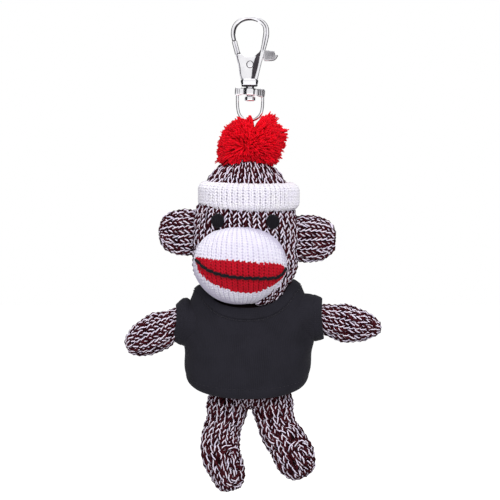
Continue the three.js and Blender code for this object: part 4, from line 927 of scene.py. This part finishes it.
# soft folds that grow towards the hem, fuller at the back, and pulls that run from the arms
down, behind = np.linspace(0, 1, rows)[:, None], np.clip(0.55 + 0.45 * np.sin(phi), 0.25, 1)[None]
sides = np.abs(np.cos(phi))[None] ** 3
waves = np.sin(5 * phi + 0.9 + 1.6 * down) * down**2 + 0.8 * np.sin(8 * phi - 0.7 - 2.4 * down) * down**1.5 * behind
pulls = 1.1 * sides * np.sin(9 * down * np.pi + 4 * np.sin(phi)[None]) * np.exp(-((down - 0.5) / 0.2) ** 2)
shirtRings = shirtRings + outward * (fold[:, None] + shirtSet["fold"] * (waves * behind + pulls))[..., None]
shirt = shellPiece("shirt_jersey", shirtRings[:, ::-1], shirtSet["wall"], "torso", ("shirt_body",))

# neck band, its profile as how far it stands out and the share of the way down
bandSet = {"wall": 0.9, "proud": 0.1, "profile": [(0.0, 0.0), (0.3, 0.2), (0.42, 0.5), (0.4, 0.88), (0.05, 1.0)]}
top, foot = (shirtRing(station, phi) for station in shirtSet["stations"][:2])
bandRings = [proudOf(top + (foot - top) * share, proud + bandSet["proud"]) for proud, share in bandSet["profile"]]
band = shellPiece("neck_rib", smoothStations(bandRings, 5)[:, ::-1], bandSet["wall"], "torso", ("neck_band",))
hemStitch = stitchPiece("hem_stitch", shirtRings[rows - 9], "torso")
neckStitch = stitchPiece("neckline_stitch", proudOf(foot, 0.45) - [0, 0, 0.5], "torso")

sleeveDepth, sleeveWall = 1.5, 0.8
sleeveSet = {
    # sign, hollow at the front of the opening, lean of the cuff, flat size; then along x, level, half height, half depth
    "left": (-1, 1.2, 0.12, (0.053, 0.0148), [
        (-16.0, -120.8, 8.2, 8.9), (-20.5, -121.6, 8.5, 9.3), (-23.6, -121.6, 8.5, 9.2),
        (-26.2, -120.6, 8.9, 8.8), (-28.4, -120.5, 7.7, 7.7), (-29.9, -120.6, 6.4, 6.8)]),
    "right": (1, 0.8, -0.05, (0.055, 0.0136), [
        (15.6, -118.2, 8.4, 9.3), (18.2, -118.6, 8.7, 9.7), (21.6, -119.2, 9.1, 9.6),
        (25.0, -119.1, 8.7, 8.9), (27.2, -119.1, 8.1, 8.1), (28.8, -119.2, 7.5, 7.4)]),
}
turn = roundSteps(48)
for side, (sign, hollow, lean, flat, stations) in sleeveSet.items():
    rings = smoothStations([np.stack([np.full(len(turn), x), sleeveDepth + deep * np.cos(turn), level + tall * np.sin(turn)],
                                     -1) for x, level, tall, deep in stations], 6)
    middles = rings.mean(1, keepdims=True)
    # cuff: folded under, with a stitched groove and a few creases behind it
    level = np.arange(len(rings)) - len(rings)
    cuff = np.interp(level, [-12, -10, -9, -2, -1], [0, -0.14, 0.14, 0.14, 0.0])[:, None]
    crease = 0.22 * np.sin(5 * turn + sign * 0.8)[None] * np.exp(-((level + 14) / 5.0) ** 2)[:, None]
    rings = rings + unit(rings - middles) * (cuff + crease)[..., None]
    # the opening is hollowed at the front, where the arm fills it
    rings[..., 0] -= sign * np.interp(level, [-14, -1], [0, hollow])[:, None] * np.clip(-np.cos(turn), 0, 1)[None] ** 2
    rings[..., 0] += lean * (rings[..., 2] - middles[..., 2]) * np.interp(level, [-16, -4], [0, 1])[:, None]
    crossing = ("torso", side + "_arm", (sign * 0.0225, 0, -0.117), (sign * 0.0295, 0, -0.12))
    cuffStitch = stitchPiece("cuff_stitch_" + side, rings[-9], crossing)
    sleeve = shellPiece("sleeve_" + side + "_jersey", rings[:, ::-sign], sleeveWall, crossing, ("sleeve_" + side,))
print("shirt sewn")


# clasp: eye bar, two cheeks with the lever between them, collar, post and ring
def spreadLine(points, count):
    # evenly spaced points on a smooth line, and how far along each is
    line = spineLine(points, 60)
    length = runLength(line)
    even = np.linspace(0, length[-1], count)
    return pointAt(even, length, line), even / length[-1]


def roundSection(sides):
    angle = roundSteps(sides)
    return np.stack([np.cos(angle), np.sin(angle)], -1)[None]


def barSection(inner, outer, groove):
    # a bar's cut: rounder or squarer on its inner and outer side, with a fine line down its front and back
    half = np.array([1, 0.985, 0.95, 0.88, 0.76, 0.6, 0.42, 0.26, 0.16, 0.08, 0])
    c = np.r_[half, -half[-2::-1]][None]
    inner, outer, groove = (np.atleast_1d(value)[:, None] for value in (inner, outer, groove))
    power = np.where(c > 0, inner, outer)
    d = (1 - np.abs(c) ** power) ** (1 / power) * (1 - groove * np.clip(1 - np.abs(c) / 0.16, 0, 1))
    back = np.stack([np.broadcast_to(c, d.shape), d], -1)
    return np.concatenate([back, back[:, -2:0:-1] * [1, -1]], 1)


def addBar(heap, centre, halfWide, halfDeep, slot, across=(0, 1, 0), section=roundSection(20)):
    # a bar along a line: halfWide in the plane of the clasp, halfDeep through it
    centre, deep = np.array(centre, float), np.array(across, float)
    wide = unit(np.cross(deep, unit(np.gradient(centre, axis=0))))
    halfWide, halfDeep = (np.broadcast_to(h, len(centre))[:, None, None] for h in (halfWide, halfDeep))
    rings = centre[:, None] + halfWide * section[..., :1] * wide[:, None] + halfDeep * section[..., 1:] * deep
    addTo(heap, rings, tubeFaces(np.ones(len(centre) - 1, bool), section.shape[1])[0], slot)


def addPlate(heap, outline, near, far, edge, slot, steps=4):
    # a flat piece with rounded edges; outline runs anticlockwise seen from the front
    outline = np.array(outline, float)
    n = len(outline)
    along = unit(np.roll(outline, -1, 0) - np.roll(outline, 1, 0))
    outward = np.stack([along[:, 1], -along[:, 0]], 1)
    edge = np.broadcast_to(edge, n)
    rings = []
    for end in (0, 1):
        for a in np.linspace(0, np.pi / 2, steps)[::1 if end == 0 else -1]:
            inset, sink = edge * (1 - math.sin(a)), edge * (1 - math.cos(a))
            flat = outline - outward * inset[:, None]
            rings.append(np.stack([flat[:, 0], near + sink if end == 0 else far - sink, flat[:, 1]], 1))
    sides = gridFaces(len(rings), n, True)[:, ::-1]
    caps = [np.arange(n)[None], (np.arange(n)[::-1] + (len(rings) - 1) * n)[None]]
    addTo(heap, np.concatenate(rings), [sides] + caps, slot)


def smoothOutline(points, count):
    # closed outline through the points
    points = np.array(points, float)
    loop = np.vstack([points[-2:], points, points[:3]])
    line = spineLine(np.stack([loop[:, 0], np.zeros(len(loop)), loop[:, 1]], 1), 40)[39 * 2 + 1:-(39 * 2 + 1)]
    length = runLength(line)
    return pointAt(np.linspace(0, length[-1], count, endpoint=False), length, line)[:, ::2]


def addTurned(heap, profile, centre, slot, axis="z", sides=40, start=0.0, square=1.0):
    # a turned piece: radius and height pairs, from one end to the other, closed on its axis
    profile = np.array(profile, float)
    angle = 2 * np.pi * (np.arange(sides) + start) / sides
    r, h = profile[:, 0][:, None], np.broadcast_to(profile[:, 1][:, None], (len(profile), sides))
    c, d = (np.sign(f) * np.abs(f) ** square for f in (np.cos(angle), np.sin(angle)))  # below 1, the plan is squarer
    rings = np.stack([r * c, r * d, h], -1)
    if axis == "y":
        rings = np.stack([rings[..., 0], -rings[..., 2], rings[..., 1]], -1)
    faces = gridFaces(len(profile), sides, True)
    caps = [np.arange(sides)[::-1][None], (np.arange(sides) + (len(profile) - 1) * sides)[None]]
    if profile[-1, 1] <= profile[0, 1]:  # made from the top down
        faces, caps = faces[:, ::-1], [cap[:, ::-1] for cap in caps]
    addTo(heap, rings + np.array(centre, float), [faces] + caps, slot)


def metalPiece(name, heap, body, node):
    piece = buildPiece(name, heap, nickels)
    piece.data.set_sharp_from_angle(angle=math.radians(50))
    settle(piece, body, (node,))


claspSet = {"bar": [(-6.35, 0, -8.1), (-6.75, 0, -5.2), (-5.95, 0, -2.2), (-3.4, 0, 0.1), (0.1, 0, 0.84),
                    (3.6, 0, 0.05), (6.0, 0, -2.2),
                    (6.5, 0, -4.9), (5.95, 0, -8.6), (5.25, 0, -11.7), (4.2, 0, -16.1), (3.15, 0, -20.6),
                    (2.35, 0, -23.6)],
            "barHalf": [0.9, 0.95, 0.95, 0.9, 0.85, 0.95, 1.15, 1.25, 1.1, 0.95, 0.7, 0.68, 0.78],
            "pad": [(-3.3, -23.7), (0.3, -23.7), (1.2, -19.4), (2.0, -16.0), (2.9, -13.75), (1.9, -14.3),
                    (0.7, -14.68), (-0.6, -14.8), (-1.9, -14.62), (-3.0, -14.15), (-3.9, -13.65), (-5.35, -13.9),
                    (-4.6, -18.0)],
            "web": [(0.0, -23.6), (2.6, -23.6), (4.6, -15.5), (5.5, -10.2), (4.6, -11.2), (3.7, -12.8), (2.4, -14.0),
                    (1.4, -17.0)],
            "padDeep": 2.2, "webDeep": 1.45, "slot": 0.95}
heap = newHeap()
bar, share = spreadLine(claspSet["bar"], 110)
barHalf = np.interp(share, np.linspace(0, 1, len(claspSet["barHalf"])), claspSet["barHalf"])
# rounded on the inside of the eye at the left, squarer down the right with a line along it
eyeSection = barSection(np.interp(share, [0.3, 0.42], [1.7, 4.5]), np.interp(share, [0, 0.1], [3.0, 4.5]),
                        np.interp(share, [0.36, 0.42, 0.7, 0.74], [0, 0.4, 0.4, 0]))
addBar(heap, bar, barHalf, np.interp(share, [0, 0.6, 1], [1.55, 1.7, 1.9]), brightSlot, section=eyeSection)
# painted dark reflection along the inner edge of the eye, from the hook's tip over the top
paintedReflectionRun = (share > 0.06) & (share < 0.4)
inward = unit(np.cross((0, 1, 0), unit(np.gradient(bar, axis=0))))
paintedReflectionHalf = np.interp(share, [0.06, 0.14, 0.24, 0.4], [0.16, 0.32, 0.3, 0.1])
addBar(heap, (bar + inward * (barHalf - paintedReflectionHalf + 0.05)[:, None])[paintedReflectionRun], paintedReflectionHalf[paintedReflectionRun], 1.35, paintedShadeSlot)
padLine, webLine = smoothOutline(claspSet["pad"], 90), smoothOutline(claspSet["web"], 70)
padRun = unit(np.roll(padLine, -1, 0) - np.roll(padLine, 1, 0))
padEdge = np.maximum(0.25 + 0.25 * np.clip((0.6 + padRun[:, 0]) / 0.6, 0, 1),
                     1.15 * np.clip((-padRun[:, 1] - 0.4) / 0.4, 0, 1))  # fullest down the left
# the cheeks in bright nickel; the web between them in the dark nickel, painted shade in the groove
for outline, deep, edge, slot, steps in ((padLine, claspSet["padDeep"], padEdge, brightSlot, 8),
                                         (webLine, claspSet["webDeep"], 0.15, paintedShadeSlot, 4)):
    for near, far in ((-deep, -claspSet["slot"]), (claspSet["slot"], deep)):
        addPlate(heap, outline, near, far, edge, slot, steps)
# painted shadow: dark bars under the hook's tip and in the slot where the gate's foot goes in
addBar(heap, [(-6.42, 0, -7.6), (-6.3, 0, -8.1), (-6.22, 0, -8.35)], 0.82, 1.3, paintedShadeSlot)
addBar(heap, [(-5.35, 0, -13.75), (-4.6, 0, -13.4), (-3.9, 0, -13.05)], 0.34, 1.7, paintedShadeSlot)
addPlate(heap, [(-3.3, -23.6), (2.6, -23.6), (3.2, -21.6), (-3.7, -21.6)], -1.1, 1.1, 0.1, brightSlot)
# collar, and under it a dark ring as painted shade in the gap
collarSet = {"centre": (-0.2, 0, 0), "square": 0.55, "under": [(1.9, -26.5), (2.9, -26.48), (3.2, -26.3), (3.25, -26.0)],
             "profile": [(2.2, -26.15), (3.15, -26.1), (3.4, -25.7), (3.62, -24.7), (3.62, -24.2), (3.4, -23.75),
                         (2.9, -23.45), (2.2, -23.4)]}
for profile, slot in ((collarSet["profile"], brightSlot), (collarSet["under"], paintedShadeSlot)):
    addTurned(heap, profile, collarSet["centre"], slot, square=collarSet["square"])
metalPiece("clasp_body", heap, "hook", "hook_body")

rivetSet = {"centre": (0, 0, -17.8),
            "profile": [(1.24, -2.0), (1.26, 2.3), (1.16, 2.44), (0.98, 2.48), (0.5, 2.5), (0.12, 2.51)],
            "sink": [(1.5, 2.0), (1.5, 2.24), (1.25, 2.25), (1.2, 2.0)]}  # the countersink round each end, coloured dark as painted shade
heap = newHeap()
for profile, face, slot in ((rivetSet["profile"], 1, brightSlot), (rivetSet["profile"][1:], -1, brightSlot),
                            (rivetSet["sink"], 1, paintedShadeSlot), (rivetSet["sink"], -1, paintedShadeSlot)):
    addTurned(heap, [(r, face * h) for r, h in profile], rivetSet["centre"], slot, "y", 28)
metalPiece("rivet_head", heap, "hook", "pivot_rivet")

postSet = {"stem": [(1.2, -30.4), (1.55, -30.2), (1.55, -27.3), (1.72, -27.1), (1.72, -26.5), (1.5, -26.2), (1.5, -24.6)],
           "head": [(1.3, -32.45), (1.95, -32.35), (2.25, -32.0), (2.3, -31.2), (2.2, -30.62), (1.6, -30.5)]}
heap = newHeap()
addTurned(heap, postSet["stem"], (0, 0, 0), brightSlot, sides=28)
addTurned(heap, postSet["head"], (0, 0, 0), brightSlot, sides=8, start=0.5)
metalPiece("post_polished", heap, "hook", "swivel_post")

gateSet = {"bar": [(-6.2, 0, -8.5), (-5.85, 0, -10.0), (-5.3, 0, -12.0), (-4.95, 0, -13.6)], "half": 1.08,
           "lever": [(-5.6, -13.2), (-5.2, -15.4), (-2.6, -17.9), (0.0, -19.3), (2.6, -17.8), (4.4, -15.7),
                     (6.2, -15.4), (6.2, -13.2), (4.6, -13.6), (2.4, -15.2), (0.0, -16.3), (-2.4, -15.4),
                     (-4.2, -13.7)],
           "tab": [(5.7, -12.5), (5.7, -16.1), (8.2, -16.15), (9.6, -15.95), (10.5, -15.2), (11.1, -14.0),
                   (10.75, -13.85), (10.2, -14.2), (9.9, -13.2), (9.2, -12.55)],
           "edge": [(5.8, 0, -16.05), (8.2, 0, -16.1), (9.6, 0, -15.9), (10.45, 0, -15.2), (11.0, 0, -14.2)], "ridges": 7}
fineSection = roundSection(8)
heap = newHeap()
addBar(heap, spreadLine(gateSet["bar"], 16)[0], gateSet["half"], 1.45, brightSlot, section=barSection(4.5, 4.5, 0.4))
addPlate(heap, smoothOutline(gateSet["lever"][::-1], 70)[::-1], -0.8, 0.8, 0.15, brightSlot)
addPlate(heap, smoothOutline(gateSet["tab"], 60), -1.65, 1.65, 0.3, matteAndShadeSlot)
for k in range(gateSet["ridges"]):
    x = 6.3 + 0.55 * k
    for y in (-1.68, 1.68):
        addBar(heap, [(x, y, z) for z in (-12.9, -14.3, -15.7)], 0.16, 0.14, matteAndShadeSlot, section=fineSection)
    addBar(heap, [(x, -1.4, -12.52), (x, 0.0, -12.5), (x, 1.4, -12.52)], 0.16, 0.12, matteAndShadeSlot, (0, 0, 1), fineSection)
addBar(heap, spreadLine(gateSet["edge"], 24)[0], 0.2, 1.55, paintedShadeSlot)  # lower edge coloured dark, painted shade
metalPiece("gate_polished", heap, "gate", "gate_lever")

ringSet = {"half": 5.2, "wire": 0.62, "top": -27.15, "foot": -30.05, "deep": 1.25,
           "yaw": pomSet["yaw"], "droop": math.radians(5)}


def turnHeap(heap, angle, other, middle=0.0):
    # turns what is in the heap so far, in the plane of x and one other axis
    for v in heap["verts"]:
        x, w = v[:, 0].copy(), v[:, other] - middle
        v[:, 0] = x * math.cos(angle) - w * math.sin(angle)
        v[:, other] = middle + x * math.sin(angle) + w * math.cos(angle)


heap = newHeap()
h, t, b, deep = (ringSet[key] for key in ("half", "top", "foot", "deep"))
middle, blockDeep = (t + b) / 2, deep + 0.12
crossBar = [(-h - 0.5, b + 0.2), (-h + 0.9, b - 0.15), (-2.4, b + 0.25), (2.4, b + 0.25), (h - 0.9, b - 0.15),
            (h + 0.5, b + 0.2), (h + 0.62, middle), (h + 0.3, t - 0.1), (2.4, t - 0.2), (-2.4, t - 0.2),
            (-h - 0.3, t - 0.1), (-h - 0.62, middle)]
addPlate(heap, smoothOutline(crossBar, 96), -deep, deep, 0.35, brightSlot)
hub = [(1.7, b - 0.02), (2.5, b), (2.75, b + 0.3), (2.8, b + 0.9), (2.8, t - 0.9), (2.75, t - 0.3), (2.5, t), (1.7, t + 0.02)]
addTurned(heap, hub, (0, 0, 0), brightSlot, sides=32)
block = [(h - 2.0, b + 0.1), (h - 1.2, b - 0.25), (h + 0.5, b - 0.3), (h + 0.72, b + 0.3),
         (h + 0.72, t - 0.5), (h + 0.4, t - 0.05), (h - 1.2, t - 0.1), (h - 2.0, t - 0.3)]
for end, slot in ((-1, brightSlot), (1, matteAndShadeSlot)):  # the blocks that hold the wire's ends, with three grooves each; the right block is darker as painted shade
    addPlate(heap, smoothOutline([(end * x, z) for x, z in block[::end]], 48), -blockDeep, blockDeep, 0.4, slot)
    for k in range(3):
        x = end * (h - 1.2 + 0.75 * k)
        # each groove takes the next darker nickel, painted shade in the groove
        addBar(heap, [(x, -blockDeep, z) for z in (b + 0.2, middle, t - 0.5)], 0.2, 0.16, slot + 1, section=fineSection)
turnHeap(heap, -ringSet["droop"], 2, middle)  # the cross bar sits loose on the post and droops to the right
wire = [(-h, 0, t - 0.6), (-h, 0, -33.2), (-h * 0.98, 0, hinge + h), (-h * 0.85, 0, hinge + h * 0.48),
        (-h * 0.5, 0, hinge + h * 0.13), (0, 0, hinge)]
wire = wire + [(-x, y, z) for x, y, z in wire[-2::-1]]
addBar(heap, spreadLine(wire, 90)[0], ringSet["wire"], ringSet["wire"], brightSlot, section=roundSection(14))
turnHeap(heap, ringSet["yaw"], 1)
metalPiece("ring_polished", heap, "ring", "swivel_ring")

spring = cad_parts["gate_spring"].data
spring.materials.clear()
spring.materials.append(nickels[matteAndShadeSlot])
print("clasp finished")


# floor, light and world
def stagePlate(name, corners, paint):
    mesh = bpy.data.meshes.new(name)
    mesh.from_pydata(corners, [], [(0, 1, 2, 3)])
    mesh.materials.append(paint)
    plate = bpy.data.objects.new(name, mesh)
    scene.collection.objects.link(plate)
    return plate


def showDirectly(tree, plain, seen, output):
    # one shader lights the object, the other is what the camera, metal and glass see
    rays = addNode(tree, "ShaderNodeLightPath").outputs
    direct = rays["Is Camera Ray"]
    for name in ("Is Glossy Ray", "Is Transmission Ray"):
        direct = mathNode(tree, "MAXIMUM", direct, rays[name])
    mixed = addNode(tree, "ShaderNodeMixShader", {0: direct, 1: plain.outputs[0], 2: seen.outputs[0]})
    tree.links.new(mixed.outputs[0], tree.nodes[output].inputs["Surface"])


floorSet = {"reach": 3, "level": -0.235, "grey": (0.45, 0.45, 0.45, 1), "glow": 0.84}
floorPaint = bpy.data.materials.new("floorPaint")
floorPaint.use_nodes = True
tree = floorPaint.node_tree
tree.nodes.remove(tree.nodes["Principled BSDF"])
diffuse = addNode(tree, "ShaderNodeBsdfDiffuse", {"Color": floorSet["grey"]})
glow = addNode(tree, "ShaderNodeEmission", {"Color": (1, 1, 1, 1), "Strength": floorSet["glow"]})
both = addNode(tree, "ShaderNodeAddShader", {0: diffuse.outputs[0], 1: glow.outputs[0]})
showDirectly(tree, diffuse, both, "Material Output")
stagePlate("floor", [(x * floorSet["reach"], y * floorSet["reach"], floorSet["level"])
                     for x, y in ((-1, -1), (1, -1), (1, 1), (-1, 1))], floorPaint)

worldSet = {"colour": (0.95, 0.96, 1.0, 1), "strength": 0.42}
scene.world = bpy.data.worlds.new("studio")
scene.world.use_nodes = True
tree = scene.world.node_tree
ambient = feed(tree, tree.nodes["Background"], {"Color": worldSet["colour"], "Strength": worldSet["strength"]})
backdrop = addNode(tree, "ShaderNodeBackground", {"Color": (1, 1, 1, 1), "Strength": 1.0})
showDirectly(tree, ambient, backdrop, "World Output")

lampSet = [  # name, place, size, power
    ("key", (0.28, -0.8, 0.35), 0.55, 5.35), ("fill", (-0.6, -0.6, -0.05), 0.6, 2.15), ("top", (0.0, 0.15, 0.7), 0.5, 2.4)]
for name, spot, size, power in lampSet:
    lampData = bpy.data.lights.new(name, "AREA")
    lampData.energy = power
    lampData.size = size
    lamp = bpy.data.objects.new(name, lampData)
    faceAim(lamp, spot)
    lamp.visible_glossy = name == "top"  # the metal mirrors the white room and the dark cards, not the other lamps

cardSet = {"aside": 0.3, "back": 0.12, "wide": 0.64, "tall": 0.9, "colour": (0.02, 0.02, 0.022, 1)}
cardPaint = bpy.data.materials.new("cardPaint")
cardPaint.use_nodes = True
feed(cardPaint.node_tree, cardPaint.node_tree.nodes["Principled BSDF"], {"Base Color": cardSet["colour"], "Roughness": 1.0})
for k, sign in enumerate((-1, 1)):
    corners = [(sign * cardSet["aside"], cardSet["back"] + run * cardSet["wide"] / 2, rise * cardSet["tall"] / 2)
               for run, rise in ((-1, -1), (1, -1), (1, 1), (-1, 1))]
    card = stagePlate("card_" + str(k), corners, cardPaint)
    card.visible_camera = card.visible_diffuse = card.visible_shadow = card.visible_transmission = False
print("studio lit")
